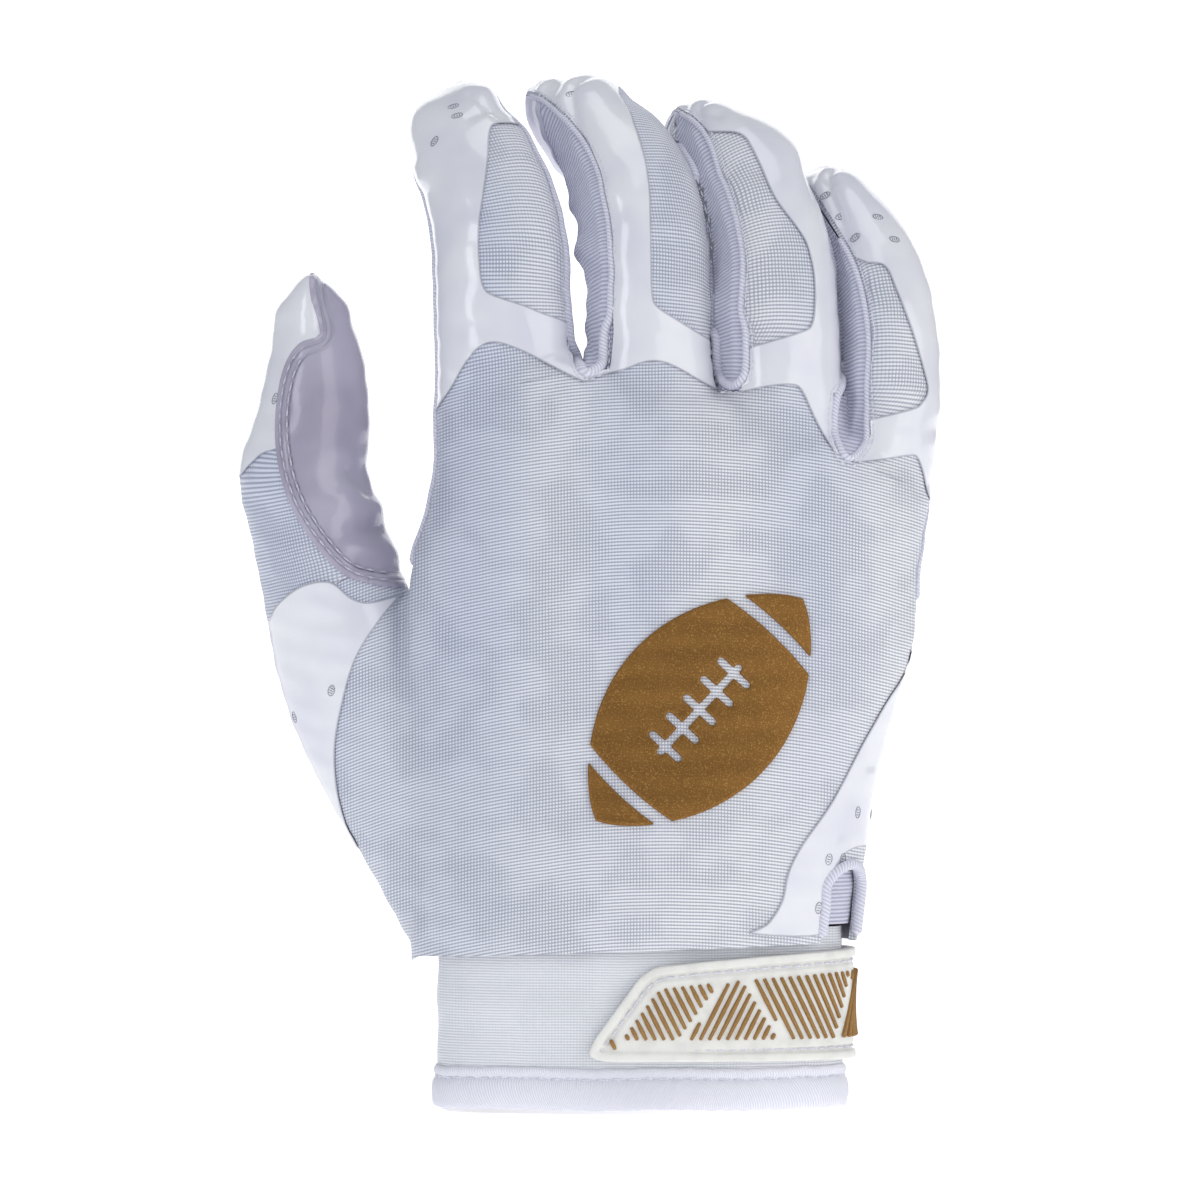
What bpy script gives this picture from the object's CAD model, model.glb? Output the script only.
"""A right-hand receiver glove in cloth, film and moulded rubber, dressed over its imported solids.

Pieces are worked out in millimetres, in the frame of the solids, and scaled to metres as they
are finished. +Z points to the fingertips and -Y out of the back of the hand.
"""

import logging
import math
from dataclasses import dataclass, field
from enum import Enum
from functools import cached_property
from typing import Callable, Iterable, Sequence

import bmesh
import bpy
import numpy as np
from mathutils import Matrix, Vector
from mathutils.bvhtree import BVHTree
from mathutils.kdtree import KDTree


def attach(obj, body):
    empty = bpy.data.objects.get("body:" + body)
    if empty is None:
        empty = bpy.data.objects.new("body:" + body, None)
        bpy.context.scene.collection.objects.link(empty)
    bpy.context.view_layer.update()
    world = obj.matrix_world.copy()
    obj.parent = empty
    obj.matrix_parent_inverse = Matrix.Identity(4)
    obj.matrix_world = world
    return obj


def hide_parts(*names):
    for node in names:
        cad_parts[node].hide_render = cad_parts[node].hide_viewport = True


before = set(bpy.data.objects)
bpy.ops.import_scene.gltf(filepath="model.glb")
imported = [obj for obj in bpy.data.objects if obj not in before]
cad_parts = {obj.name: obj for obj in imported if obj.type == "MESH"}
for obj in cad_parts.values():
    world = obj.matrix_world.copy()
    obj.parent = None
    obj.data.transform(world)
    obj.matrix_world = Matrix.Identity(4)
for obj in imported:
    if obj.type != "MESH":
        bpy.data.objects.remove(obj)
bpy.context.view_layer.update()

LOG = logging.getLogger("glove")
MM = 0.001

# Overall sizes, as in the solids
HAND_BREADTH = 97.0
GLOVE_LENGTH = 206.0
HAND_DEPTH = 42.0
PHOTO_SCALE = 0.2
PHOTO_CENTRE = 640.0
PHOTO_FOOT = 1105.0
SQUARENESS = 2.4
CLOTH = 1.3
SEAM_GAP = 0.12
FILM = 0.34
OFFCUT = 0.25
ABOVE_ALL = 1.1 * GLOVE_LENGTH
FAR_FRONT = -200.0
INTO_BACK = Vector((0, 1, 0))
ROOT_REACH = 0.06 * GLOVE_LENGTH
ROOT_TAPER = 0.88
ROOT_PART = 7
PALM_SEAM = -0.5
PALM_SEAMS = {"pinky": -0.85}

Point = tuple[float, float]
Outline = Sequence[Point]

# Columns: x share of HAND_BREADTH, y share of HAND_DEPTH, z share of GLOVE_LENGTH,
# width share of the digit's width, depth share of its depth, roll in degrees.
INDEX_ROWS = (
    (-0.27, -0.09, 0.66, 1.12, 1.12, 0), (-0.276, -0.107, 0.712, 1.03, 1.04, 0),
    (-0.285, -0.083, 0.777, 0.99, 1.01, 2), (-0.289, -0.012, 0.83, 0.99, 0.99, 2),
    (-0.309, 0.107, 0.879, 0.95, 0.95, 2), (-0.342, 0.262, 0.919, 0.88, 0.9, 0),
    (-0.363, 0.44, 0.943, 0.82, 0.85, -2), (-0.371, 0.6, 0.948, 0.74, 0.78, -4),
)
MIDDLE_ROWS = (
    (0.023, -0.119, 0.667, 1.18, 1.18, 12), (0.019, -0.119, 0.714, 1.01, 1.06, 20),
    (0.017, -0.083, 0.777, 0.98, 1.0, 23), (0.015, -0.012, 0.83, 0.99, 0.98, 24),
    (-0.004, 0.107, 0.879, 0.98, 0.96, 26), (-0.041, 0.274, 0.919, 0.97, 0.93, 30),
    (-0.078, 0.464, 0.944, 0.92, 0.89, 34), (-0.103, 0.64, 0.949, 0.83, 0.84, 38),
)
RING_ROWS = (
    (0.284, -0.119, 0.655, 1.17, 1.17, 14), (0.288, -0.107, 0.706, 1.0, 1.04, 22),
    (0.286, -0.06, 0.767, 0.97, 0.98, 25), (0.276, 0.024, 0.82, 0.97, 0.96, 27),
    (0.247, 0.155, 0.869, 0.95, 0.95, 30), (0.204, 0.321, 0.906, 0.91, 0.91, 33),
    (0.165, 0.5, 0.926, 0.85, 0.85, 36), (0.138, 0.66, 0.93, 0.77, 0.78, 40),
)
PINKY_ROWS = (
    (0.495, -0.036, 0.595, 1.14, 1.12, 16), (0.513, -0.048, 0.65, 0.98, 1.03, 26),
    (0.517, -0.024, 0.706, 0.94, 0.97, 30), (0.511, 0.048, 0.76, 0.91, 0.95, 32),
    (0.491, 0.155, 0.806, 0.88, 0.92, 34), (0.458, 0.286, 0.842, 0.84, 0.87, 36),
    (0.42, 0.452, 0.866, 0.78, 0.82, 38), (0.398, 0.6, 0.873, 0.7, 0.74, 40),
)
THUMB_ROWS = (
    (-0.375, 0.119, 0.218, 0.93, 1.04, -30), (-0.437, 0.167, 0.284, 1.04, 1.08, -34),
    (-0.515, 0.202, 0.347, 1.05, 1.05, -38), (-0.575, 0.214, 0.405, 1.05, 1.02, -42),
    (-0.612, 0.214, 0.461, 1.03, 0.98, -46), (-0.643, 0.202, 0.515, 0.95, 0.93, -50),
    (-0.674, 0.19, 0.568, 0.87, 0.89, -50), (-0.693, 0.179, 0.617, 0.81, 0.84, -50),
    (-0.676, 0.179, 0.665, 0.73, 0.79, -50), (-0.67, 0.202, 0.714, 0.63, 0.7, -50),
    (-0.676, 0.238, 0.757, 0.49, 0.56, -50),
)
# Columns: x, y and z shares as above, breadth share of HAND_BREADTH, depth share of
# HAND_DEPTH, fall to the little finger's side as a share of GLOVE_LENGTH.
HAND_ROWS = (
    (-0.016, 0.0, 0.125, 0.907, 0.99, 0.0), (-0.011, 0.0, 0.18, 0.925, 1.029, 0.0),
    (0.002, 0.0, 0.296, 0.953, 1.01, 0.0), (0.021, -0.012, 0.383, 1.01, 0.952, 0.0),
    (0.043, -0.036, 0.466, 1.052, 0.914, 0.0), (0.058, -0.06, 0.529, 1.047, 0.886, 0.01),
    (0.078, -0.076, 0.587, 1.035, 0.867, 0.029), (0.091, -0.09, 0.636, 1.019, 0.829, 0.049),
    (0.095, -0.095, 0.67, 0.961, 0.743, 0.058), (0.095, -0.08, 0.688, 0.9, 0.56, 0.06),
    (0.095, -0.05, 0.698, 0.82, 0.3, 0.062),
)
# Bottoms of the notches between the fingers, in the same shares
NOTCHES = {
    "index_middle": (-0.113, -0.15, 0.706),
    "middle_ring": (0.196, -0.15, 0.688),
    "ring_pinky": (0.429, -0.11, 0.617),
}
# Front outlines: x share of HAND_BREADTH, z share of GLOVE_LENGTH.
HEMS = {
    "index": (
        (-0.443, 0.665), (-0.416, 0.677), (-0.388, 0.694), (-0.359, 0.717), (-0.33, 0.733),
        (-0.297, 0.738), (-0.247, 0.731), (-0.196, 0.719), (-0.144, 0.706), (-0.07, 0.69),
    ),
    "middle": (
        (-0.134, 0.697), (-0.082, 0.706), (-0.031, 0.712), (0.01, 0.719), (0.045, 0.719), (0.082, 0.712),
        (0.124, 0.701), (0.196, 0.684),
    ),
    "ring": (
        (0.186, 0.687), (0.223, 0.692), (0.268, 0.696), (0.309, 0.697), (0.33, 0.691), (0.361, 0.66),
        (0.404, 0.626),
    ),
    "pinky": (
        (0.415, 0.622), (0.449, 0.623), (0.505, 0.626), (0.546, 0.629), (0.567, 0.628), (0.581, 0.612),
        (0.598, 0.587), (0.66, 0.56),
    ),
    "thumb": (
        (-0.9, 0.6), (-0.856, 0.603), (-0.825, 0.612), (-0.8, 0.624), (-0.753, 0.636), (-0.6, 0.64),
    ),
}
WINDOWS = {
    "index": (
        (-0.309, 0.947), (-0.293, 0.954), (-0.247, 0.954), (-0.196, 0.949), (-0.134, 0.917),
        (-0.103, 0.84), (-0.103, 0.76), (-0.179, 0.764), (-0.237, 0.774), (-0.295, 0.783),
        (-0.318, 0.79), (-0.328, 0.811), (-0.33, 0.85), (-0.32, 0.888), (-0.313, 0.917),
    ),
    "middle": (
        (-0.03, 1.0), (-0.016, 0.963), (-0.004, 0.945), (0.008, 0.925), (0.016, 0.905), (0.021, 0.879),
        (0.023, 0.82), (0.025, 0.785), (0.033, 0.774), (0.06, 0.765), (0.148, 0.741), (0.215, 0.727),
        (0.25, 0.86), (0.215, 1.02),
    ),
    "ring": (
        (0.08, 0.95), (0.14, 0.947), (0.195, 0.946), (0.216, 0.941), (0.228, 0.932), (0.247, 0.913),
        (0.278, 0.879), (0.33, 0.845), (0.348, 0.825), (0.357, 0.8), (0.357, 0.775), (0.351, 0.757),
        (0.33, 0.749), (0.231, 0.735), (0.165, 0.729), (0.08, 0.83),
    ),
    "pinky": (
        (0.39, 0.815), (0.47, 0.817), (0.505, 0.813), (0.526, 0.791), (0.557, 0.752), (0.581, 0.714),
        (0.59, 0.694), (0.579, 0.682), (0.557, 0.675), (0.47, 0.665), (0.39, 0.661),
    ),
}
THUMB_SEAM = (
    (-0.685, 0.86), (-0.682, 0.809), (-0.676, 0.782), (-0.66, 0.748), (-0.701, 0.738), (-0.73, 0.718),
    (-0.746, 0.684), (-0.748, 0.646), (-0.734, 0.607), (-0.705, 0.573), (-0.656, 0.539), (-0.598, 0.513),
    (-0.536, 0.505), (-0.487, 0.504),
)
THUMB_BASE = ((-0.598, 0.513), (-0.68, 0.49), (-0.76, 0.47), (-0.9, 0.455))
THUMB_PATCH = (
    (-0.86, 0.44), (-0.779, 0.463), (-0.753, 0.484), (-0.701, 0.503), (-0.639, 0.508), (-0.596, 0.493),
    (-0.56, 0.488), (-0.505, 0.494), (-0.49, 0.497), (-0.536, 0.47), (-0.586, 0.432), (-0.616, 0.383),
    (-0.629, 0.345), (-0.625, 0.306), (-0.608, 0.272), (-0.586, 0.238), (-0.7, 0.2), (-0.86, 0.354),
)
HEEL_PATCH = (
    (0.64, 0.451), (0.571, 0.45), (0.546, 0.42), (0.505, 0.391), (0.454, 0.35), (0.392, 0.296),
    (0.33, 0.255), (0.301, 0.228), (0.289, 0.202), (0.26, 0.18), (0.227, 0.17), (0.37, 0.168),
    (0.378, 0.19), (0.385, 0.215), (0.41, 0.24), (0.45, 0.252), (0.56, 0.256), (0.64, 0.335),
)
# Photo pixels along the seam where a finger's back laps over the side of its tip, from below
LAPS = {
    "middle": ((602, 182), (595, 162), (585, 144), (575, 130), (563, 115), (547, 100), (530, 89),
               (502, 84)),
    "ring": ((721, 176), (715, 152), (707, 134), (694, 118), (681, 108), (668, 98)),
    "pinky": ((868, 336), (864, 306), (858, 279), (850, 257), (840, 238), (802, 172)),
}
# Photo pixels round the inside of the U between two fingers, from its top left
CLEFTS = {
    "index_middle": ((575, 330), (605, 330), (604, 360), (599, 371), (589, 377), (581, 374),
                     (576, 362)),
    "middle_ring": ((717, 335), (746, 335), (746, 370), (742, 382), (734, 388), (726, 385),
                    (719, 374)),
    "ring_pinky": ((834, 396), (866, 396), (866, 436), (858, 452), (848, 462), (840, 457),
                   (835, 444)),
}
CLEFT_DEPTH = -0.13
# The gap that shows between index and middle finger, down to the U
GAP = ((571, 320), (585, 320), (585, 360), (584, 369), (580, 371), (575, 366), (571, 352))
SIDE_LINE = ((-1.1, 0.2), (0.9, -0.05), (0.9, -2.0), (-1.1, -2.0))
KNUCKLE_LINE = (
    (-0.9, 0.0), (-0.9, 0.68), (-0.42, 0.68), (-0.113, 0.712), (0.196, 0.694), (0.429, 0.623),
    (0.7, 0.575), (0.7, 0.0),
)
WRIST_LINE = (
    (-1.0, 0.141), (-0.47, 0.141), (-0.454, 0.146), (0.45, 0.161), (1.0, 0.163), (1.0, -1.0),
    (-1.0, -1.0),
)


def photo(x: float, y: float) -> Point:
    """Returns the place in X and Z, in millimetres, of a photo pixel."""
    return (x - PHOTO_CENTRE) * PHOTO_SCALE, (PHOTO_FOOT - y) * PHOTO_SCALE


def placed(outline: Outline) -> list[Point]:
    """Returns an outline of shares in millimetres."""
    return [(x * HAND_BREADTH, z * GLOVE_LENGTH) for x, z in outline]


def smooth(rows: Sequence[Sequence[float]], per: int, closed: bool = False) -> np.ndarray:
    """Draws a smooth curve through rows of numbers.

    Args:
        rows: The points, or rows of a table, to pass through.
        per: How many steps to make between two rows.
        closed: Whether the curve returns to its first row.

    Returns:
        The stations of the curve, one a row.
    """
    table = np.array(rows, dtype=float)
    if closed:
        padded = np.vstack([table[-1], table, table[0], table[1]])
    else:
        padded = np.vstack([2 * table[0] - table[1], table, 2 * table[-1] - table[-2]])
    spans = len(padded) - 3
    steps = np.arange(per) / per
    out = []
    for i in range(spans):
        a, b, c, d = padded[i:i + 4]
        for t in steps:
            out.append(0.5 * (2 * b + (c - a) * t + (2 * a - 5 * b + 4 * c - d) * t ** 2
                              + (3 * b - a - 3 * c + d) * t ** 3))
    if not closed:
        out.append(table[-1])
    return np.array(out)


def arc_lengths(points: np.ndarray) -> np.ndarray:
    """Returns the length of a path up to each of its points."""
    return np.concatenate([[0.0], np.cumsum(np.linalg.norm(np.diff(points, axis=0), axis=1))])


def aside(line: np.ndarray, distance: float) -> np.ndarray:
    """Returns a line in X and Z moved to its right, looking along it."""
    way = np.gradient(line, axis=0)
    way /= np.linalg.norm(way, axis=1, keepdims=True)
    return line + np.stack([way[:, 1], -way[:, 0]], axis=1) * distance


def even(points: np.ndarray, pitch: float) -> np.ndarray:
    """Returns points at an even pitch along a path."""
    lengths = arc_lengths(points)
    count = max(2, int(round(lengths[-1] / pitch)) + 1)
    marks = np.linspace(0.0, lengths[-1], count)
    return np.stack([np.interp(marks, lengths, points[:, k]) for k in range(points.shape[1])], axis=1)


def shifted(points: Outline, distance: float) -> list[Point]:
    """Returns a closed outline moved outwards, or inwards where the distance is negative."""
    table = np.array(points, dtype=float)
    ahead, behind = np.roll(table, -1, axis=0), np.roll(table, 1, axis=0)
    area = np.sum(table[:, 0] * ahead[:, 1] - ahead[:, 0] * table[:, 1])
    way = ahead - behind
    way /= np.maximum(np.linalg.norm(way, axis=1, keepdims=True), 1e-9)
    side = distance if area > 0 else -distance
    return [(x + side * w[1], y - side * w[0]) for (x, y), w in zip(table, way)]


def distance_to(points: np.ndarray, lines: Iterable[np.ndarray]) -> np.ndarray:
    """Returns how far each point in a plane lies from the nearest of some lines."""
    best = np.full(len(points), 1e9)
    for line in lines:
        for start, end in zip(line, line[1:]):
            span = end - start
            share = np.clip((points - start) @ span / max(span @ span, 1e-9), 0.0, 1.0)
            gap = np.linalg.norm(points - start - share[:, None] * span, axis=1)
            best = np.minimum(best, gap)
    return best


def power_sum(u: float, v: float) -> float:
    """Returns the sum that is 1 on the rounded outline of a section."""
    return abs(u) ** SQUARENESS + abs(v) ** SQUARENESS


def round_off(share: float) -> float:
    """Returns how wide a section still is at a share of its height."""
    return max(0.0, 1 - abs(share) ** SQUARENESS) ** (1 / SQUARENESS)


@dataclass(frozen=True)
class Pull:
    """A soft shift of the form near a photo pixel.

    The shift is in photo pixels too, to the right and down; the reach is in millimetres.
    """

    at: Point
    by: Point
    reach: float
    part: str = ""


PULLS = (
    Pull((424, 110), (-9, -4), 5.0), Pull((482, 92), (-2, -5), 4.5), Pull((512, 110), (-7, 1), 4.5),
    Pull((548, 94), (-15, -11), 6.0), Pull((566, 130), (-4, 2), 4.0),
    Pull((588, 88), (0, -5), 6.0), Pull((540, 95), (-8, -4), 5.0), Pull((520, 128), (8, 0), 3.0, "index"),
    Pull((537, 128), (-6, 0), 3.0, "middle"), Pull((580, 208), (-5, 0), 4.0, "middle"),
    Pull((584, 250), (-13, 0), 2.7, "middle"), Pull((719, 310), (-9, 0), 7.0, "ring"),
    Pull((720, 355), (-5, 0), 4.0, "ring"), Pull((788, 150), (9, -2), 5.0, "ring"),
    Pull((848, 178), (7, -2), 5.0, "pinky"), Pull((806, 178), (-5, 0), 4.0, "pinky"),
    Pull((690, 112), (-4, -9), 6.0), Pull((755, 128), (8, -6), 6.5),
    Pull((822, 176), (-5, -7), 6.0),
    Pull((311, 284), (0, -17), 4.0), Pull((240, 480), (-5, 0), 7.0),
    Pull((430, 465), (10, 0), 9.0), Pull((418, 515), (6, 0), 6.0),
    Pull((937, 490), (-8, 0), 13.0), Pull((930, 580), (-5, 0), 7.0),
)


def pulled(place: Vector, part: str) -> Vector:
    """Returns a place on a part of the glove, moved by the pulls around it."""
    out = place.copy()
    for pull in PULLS:
        if pull.part not in ("", part):
            continue
        x, z = photo(*pull.at)
        weight = math.exp(-((place.x - x) ** 2 + (place.z - z) ** 2) / pull.reach ** 2) * PHOTO_SCALE
        out.x += pull.by[0] * weight
        out.z -= pull.by[1] * weight
    return out


@dataclass(frozen=True)
class Section:
    """A cross-section: a centre, its three directions and its half sizes."""

    centre: Vector
    along: Vector
    dorsal: Vector
    across: Vector
    half_width: float
    half_depth: float
    part: str = "hand"

    def at(self, u: float, v: float, t: float = 0.0) -> Vector:
        """Returns the place at a distance across, towards the back and along."""
        return pulled(self.centre + self.across * u + self.dorsal * v + self.along * t, self.part)

    def ring(self, sides: int, grow: float, scale: float = 1.0, t: float = 0.0) -> list[Vector]:
        """Returns the rounded outline of the section, grown, scaled and moved along."""
        out = []
        for i in range(sides):
            angle = 2 * math.pi * i / sides
            c, s = math.cos(angle), math.sin(angle)
            k = scale * power_sum(c, s) ** (-1 / SQUARENESS)
            out.append(self.at((self.half_width + grow) * k * c, (self.half_depth + grow) * k * s, t))
        return out

    @property
    def tip(self) -> float:
        """How far a rounded tip stands beyond this section."""
        return min(self.half_width, self.half_depth)


@dataclass(frozen=True)
class Digit:
    """A finger or the thumb as a table of sections."""

    name: str
    rows: Sequence[Sequence[float]]
    width: float
    depth: float
    seams: tuple[float, float] = (0.0, 0.0)
    per: int = 6
    dome: tuple[float, ...] = (0.25, 0.45, 0.62, 0.76, 0.87, 0.94)

    @cached_property
    def sections(self) -> list[Section]:
        """The sections, close together."""
        marks = smooth(self.rows, self.per)
        size = Vector((HAND_BREADTH, HAND_DEPTH, GLOVE_LENGTH))
        centres = [Vector(mark[:3]) * size for mark in marks]
        out = []
        for i, mark in enumerate(marks):
            before, after = centres[max(0, i - 1)], centres[min(len(centres) - 1, i + 1)]
            along = (after - before).normalized()
            roll = math.radians(mark[5])
            dorsal = Vector((math.sin(roll), -math.cos(roll), 0.0))
            dorsal = (dorsal - along * dorsal.dot(along)).normalized()
            across = along.cross(dorsal)
            out.append(Section(centres[i], along, dorsal, across,
                               mark[3] * self.width / 2, mark[4] * self.depth / 2, self.name))
        return out

    def rings(self, sides: int, grow: float) -> list[list[Vector]]:
        """Returns the rings of the digit's tube, from its root in the hand to its tip."""
        first, last = self.sections[0], self.sections[-1]
        rings = [first.ring(sides, grow, ROOT_TAPER, -ROOT_REACH)]
        rings += [section.ring(sides, grow) for section in self.sections]
        for level in self.dome:
            rings.append(last.ring(sides, grow, round_off(level), (last.tip + grow) * level))
        rings.append(last.ring(sides, grow, 0.3, (last.tip + grow) * 0.985))
        return rings

    def seam_height(self, section: Section, across: float) -> float:
        """Returns the height of the line through a section's two seams."""
        left = -section.half_width * round_off(self.seams[0])
        right = section.half_width * round_off(self.seams[1])
        slope = (self.seams[1] - self.seams[0]) * section.half_depth / (right - left)
        return self.seams[0] * section.half_depth + slope * (across - left)

    def back_rings(self, clearance: float, margin: float) -> list[list[Vector]]:
        """Returns the rings of a bar that holds what lies on the back side of the seams."""
        first, last = self.sections[0], self.sections[-1]

        def corners(section: Section, t: float) -> list[Vector]:
            """Returns the bar's four corners at a section."""
            reach = section.half_width + margin
            top = section.half_depth + margin + FILM
            left = self.seam_height(section, -reach) + clearance
            right = self.seam_height(section, reach) + clearance
            places = ((-reach, left), (reach, right), (reach, top), (-reach, top))
            return [section.at(u, v, t) for u, v in places]

        rings = [corners(first, -ROOT_REACH)]
        rings += [corners(section, 0.0) for section in self.sections]
        rings.append(corners(last, 2 * last.tip))
        return rings

    def _side_line(self, side: int, share: float, lift: float) -> list[Vector]:
        """Returns points up a side of the digit, at a share of its depth."""
        return [s.at(side * s.half_width * round_off(share), share * s.half_depth + lift)
                for s in self.sections[len(self.sections) // ROOT_PART:]]

    def seam(self, side: int, lift: float = 0.0) -> list[Vector]:
        """Returns a seam's points from near the root up to the tip.

        Args:
            side: -1 for the thumb's side, 1 for the little finger's side.
            lift: How far towards the back of the hand to move off the seam.

        Returns:
            The points, not yet laid on the cloth.
        """
        out = self._side_line(side, self.seams[side > 0], lift)
        last = self.sections[-1]
        for u in (0.9, 0.75, 0.55, 0.35, 0.15):
            height = self.seam_height(last, side * u * last.half_width) + lift
            rest = max(0.0, 1 - power_sum(u, height / last.half_depth))
            out.append(last.at(side * u * last.half_width, height, last.tip * rest ** (1 / SQUARENESS)))
        return out

    def palm_seam(self, side: int) -> list[Vector]:
        """Returns the points of the seam between the side strip and the palm."""
        return self._side_line(side, PALM_SEAMS.get(self.name, PALM_SEAM), 0.0)


DIGITS = {
    "index": Digit("index", INDEX_ROWS, 26.0, 22.0, (0.0, 0.25)),
    "middle": Digit("middle", MIDDLE_ROWS, 24.0, 22.0, (0.52, 0.25)),
    "ring": Digit("ring", RING_ROWS, 23.0, 22.0, (0.52, 0.25)),
    "pinky": Digit("pinky", PINKY_ROWS, 20.0, 19.0, (0.52, 0.0)),
    "thumb": Digit("thumb", THUMB_ROWS, 30.0, 27.0),
}
FINGERS = ("index", "middle", "ring", "pinky")
PAIRS = (("index", "middle"), ("middle", "ring"), ("ring", "pinky"))


def hand_sections(per: int = 5) -> list[Section]:
    """Returns the sections of the hand, from the wrist to the knuckles."""
    out = []
    for x, y, z, breadth, depth, fall in smooth(HAND_ROWS, per):
        half = breadth * HAND_BREADTH / 2
        centre = Vector((x * HAND_BREADTH, y * HAND_DEPTH, z * GLOVE_LENGTH))
        across = Vector((1.0, 0.0, -fall * GLOVE_LENGTH / half))
        out.append(Section(centre, Vector((0, 0, 1)), Vector((0, -1, 0)), across,
                           half, depth * HAND_DEPTH / 2))
    return out


HAND = hand_sections()


# Mesh work

def loft(rings: Sequence[Sequence[Vector]], closed: bool = False,
         bm: bmesh.types.BMesh | None = None) -> bmesh.types.BMesh:
    """Bridges rings of equally many points into a closed skin.

    Args:
        rings: The rings in order.
        closed: Whether the last ring is bridged to the first, instead of both being capped.
        bm: A mesh to add to, or none for a new one.

    Returns:
        The mesh, whose vertices follow the rings' order.
    """
    bm = bm or bmesh.new()
    loops = []
    for ring in rings:
        made = bmesh.ops.create_circle(bm, cap_ends=False, radius=1.0, segments=len(ring))["verts"]
        for vert, place in zip(made, ring):
            vert.co = place
        loops.append(list({edge for vert in made for edge in vert.link_edges}))
    pairs = list(zip(loops, loops[1:]))
    if closed:
        pairs.append((loops[-1], loops[0]))
    faces = []
    for low, high in pairs:
        faces += bmesh.ops.bridge_loops(bm, edges=low + high)["faces"]
    if not closed:
        for loop in (loops[0], loops[-1]):
            faces += bmesh.ops.holes_fill(bm, edges=loop, sides=0)["faces"]
    bmesh.ops.recalc_face_normals(bm, faces=faces)
    return bm


def prism(points: Outline, y_from: float = -130.0, y_to: float = 130.0) -> bmesh.types.BMesh:
    """Returns an outline in X and Z drawn through the depth."""
    bm = bmesh.new()
    face = bm.faces.new([bm.verts.new((x, y_from, z)) for x, z in points])
    top = bmesh.ops.extrude_face_region(bm, geom=[face])["geom"]
    verts = [item for item in top if isinstance(item, bmesh.types.BMVert)]
    bmesh.ops.translate(bm, verts=verts, vec=(0.0, y_to - y_from, 0.0))
    bmesh.ops.recalc_face_normals(bm, faces=bm.faces)
    return bm


def scratch(bm: bmesh.types.BMesh, name: str = "scratch") -> bpy.types.Object:
    """Returns a linked object made from a mesh in hand, which is used up."""
    mesh = bpy.data.meshes.new(name)
    bm.to_mesh(mesh)
    bm.free()
    obj = bpy.data.objects.new(name, mesh)
    bpy.context.scene.collection.objects.link(obj)
    return obj


def drop(*objects: bpy.types.Object) -> None:
    """Removes working objects with their meshes."""
    for obj in objects:
        mesh = obj.data
        bpy.data.objects.remove(obj)
        bpy.data.meshes.remove(mesh)


def settle(obj: bpy.types.Object) -> bpy.types.Object:
    """Applies an object's modifiers to its mesh and returns the object."""
    bpy.context.view_layer.update()
    graph = bpy.context.evaluated_depsgraph_get()
    made = bpy.data.meshes.new_from_object(obj.evaluated_get(graph))
    old = obj.data
    obj.modifiers.clear()
    obj.data = made
    bpy.data.meshes.remove(old)
    return obj


def twin(obj: bpy.types.Object) -> bpy.types.Object:
    """Returns a linked copy of an object with a mesh of its own."""
    copy = bpy.data.objects.new(obj.name + "_copy", obj.data.copy())
    bpy.context.scene.collection.objects.link(copy)
    return copy


class Cut(Enum):
    """How two solids are combined."""

    KEEP = "INTERSECT"
    TAKE = "DIFFERENCE"
    JOIN = "UNION"


def combine(obj: bpy.types.Object, how: Cut, tool: bpy.types.Object) -> bpy.types.Object:
    """Combines a solid with a tool, which is used up, and returns the changed solid.

    Args:
        obj: The solid, which is changed.
        how: How the two are combined.
        tool: The other solid.

    Returns:
        The changed solid.
    """
    modifier = obj.modifiers.new("cut", "BOOLEAN")
    modifier.operation = how.value
    modifier.object = tool
    modifier.solver = "MANIFOLD"
    settle(obj)
    drop(tool)
    return obj


def cut_through(obj: bpy.types.Object, how: Cut, outline: Outline) -> bpy.types.Object:
    """Combines a solid with an outline drawn through the whole depth."""
    return combine(obj, how, scratch(prism(outline)))


def remesh(obj: bpy.types.Object, voxel: float, passes: int) -> bpy.types.Object:
    """Rebuilds a solid on a fine grid and smooths it."""
    grid = obj.modifiers.new("grid", "REMESH")
    grid.mode = "VOXEL"
    grid.voxel_size = voxel
    if passes:
        ease = obj.modifiers.new("ease", "SMOOTH")
        ease.factor = 0.5
        ease.iterations = passes
    return settle(obj)


def coords(mesh: bpy.types.Mesh) -> np.ndarray:
    """Returns the places of a mesh's vertices."""
    out = np.empty(len(mesh.vertices) * 3)
    mesh.vertices.foreach_get("co", out)
    return out.reshape(-1, 3)


def normals(mesh: bpy.types.Mesh) -> np.ndarray:
    """Returns the directions of a mesh's vertices."""
    out = np.empty(len(mesh.vertices) * 3)
    mesh.vertex_normals.foreach_get("vector", out)
    return out.reshape(-1, 3)


def move(mesh: bpy.types.Mesh, places: np.ndarray) -> None:
    """Puts a mesh's vertices at new places."""
    mesh.vertices.foreach_set("co", places.astype(np.float32).ravel())
    mesh.update()


def bodies_of(bm: bmesh.types.BMesh) -> list[list[bmesh.types.BMVert]]:
    """Returns the vertices of each separate body of a mesh."""
    seen: set[bmesh.types.BMVert] = set()
    out = []
    for start in bm.verts:
        if start in seen:
            continue
        seen.add(start)
        body, front = [start], [start]
        while front:
            vert = front.pop()
            for edge in vert.link_edges:
                other = edge.other_vert(vert)
                if other not in seen:
                    seen.add(other)
                    body.append(other)
                    front.append(other)
        out.append(body)
    return out


def keep_largest(obj: bpy.types.Object) -> None:
    """Deletes offcuts much smaller than the largest body of a mesh."""
    bm = bmesh.new()
    bm.from_mesh(obj.data)
    bmesh.ops.remove_doubles(bm, verts=bm.verts, dist=0.002)
    groups = bodies_of(bm)
    most = max(len(group) for group in groups)
    for group in groups:
        if len(group) < OFFCUT * most:
            bmesh.ops.delete(bm, geom=group, context="VERTS")
    bm.to_mesh(obj.data)
    bm.free()


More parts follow.
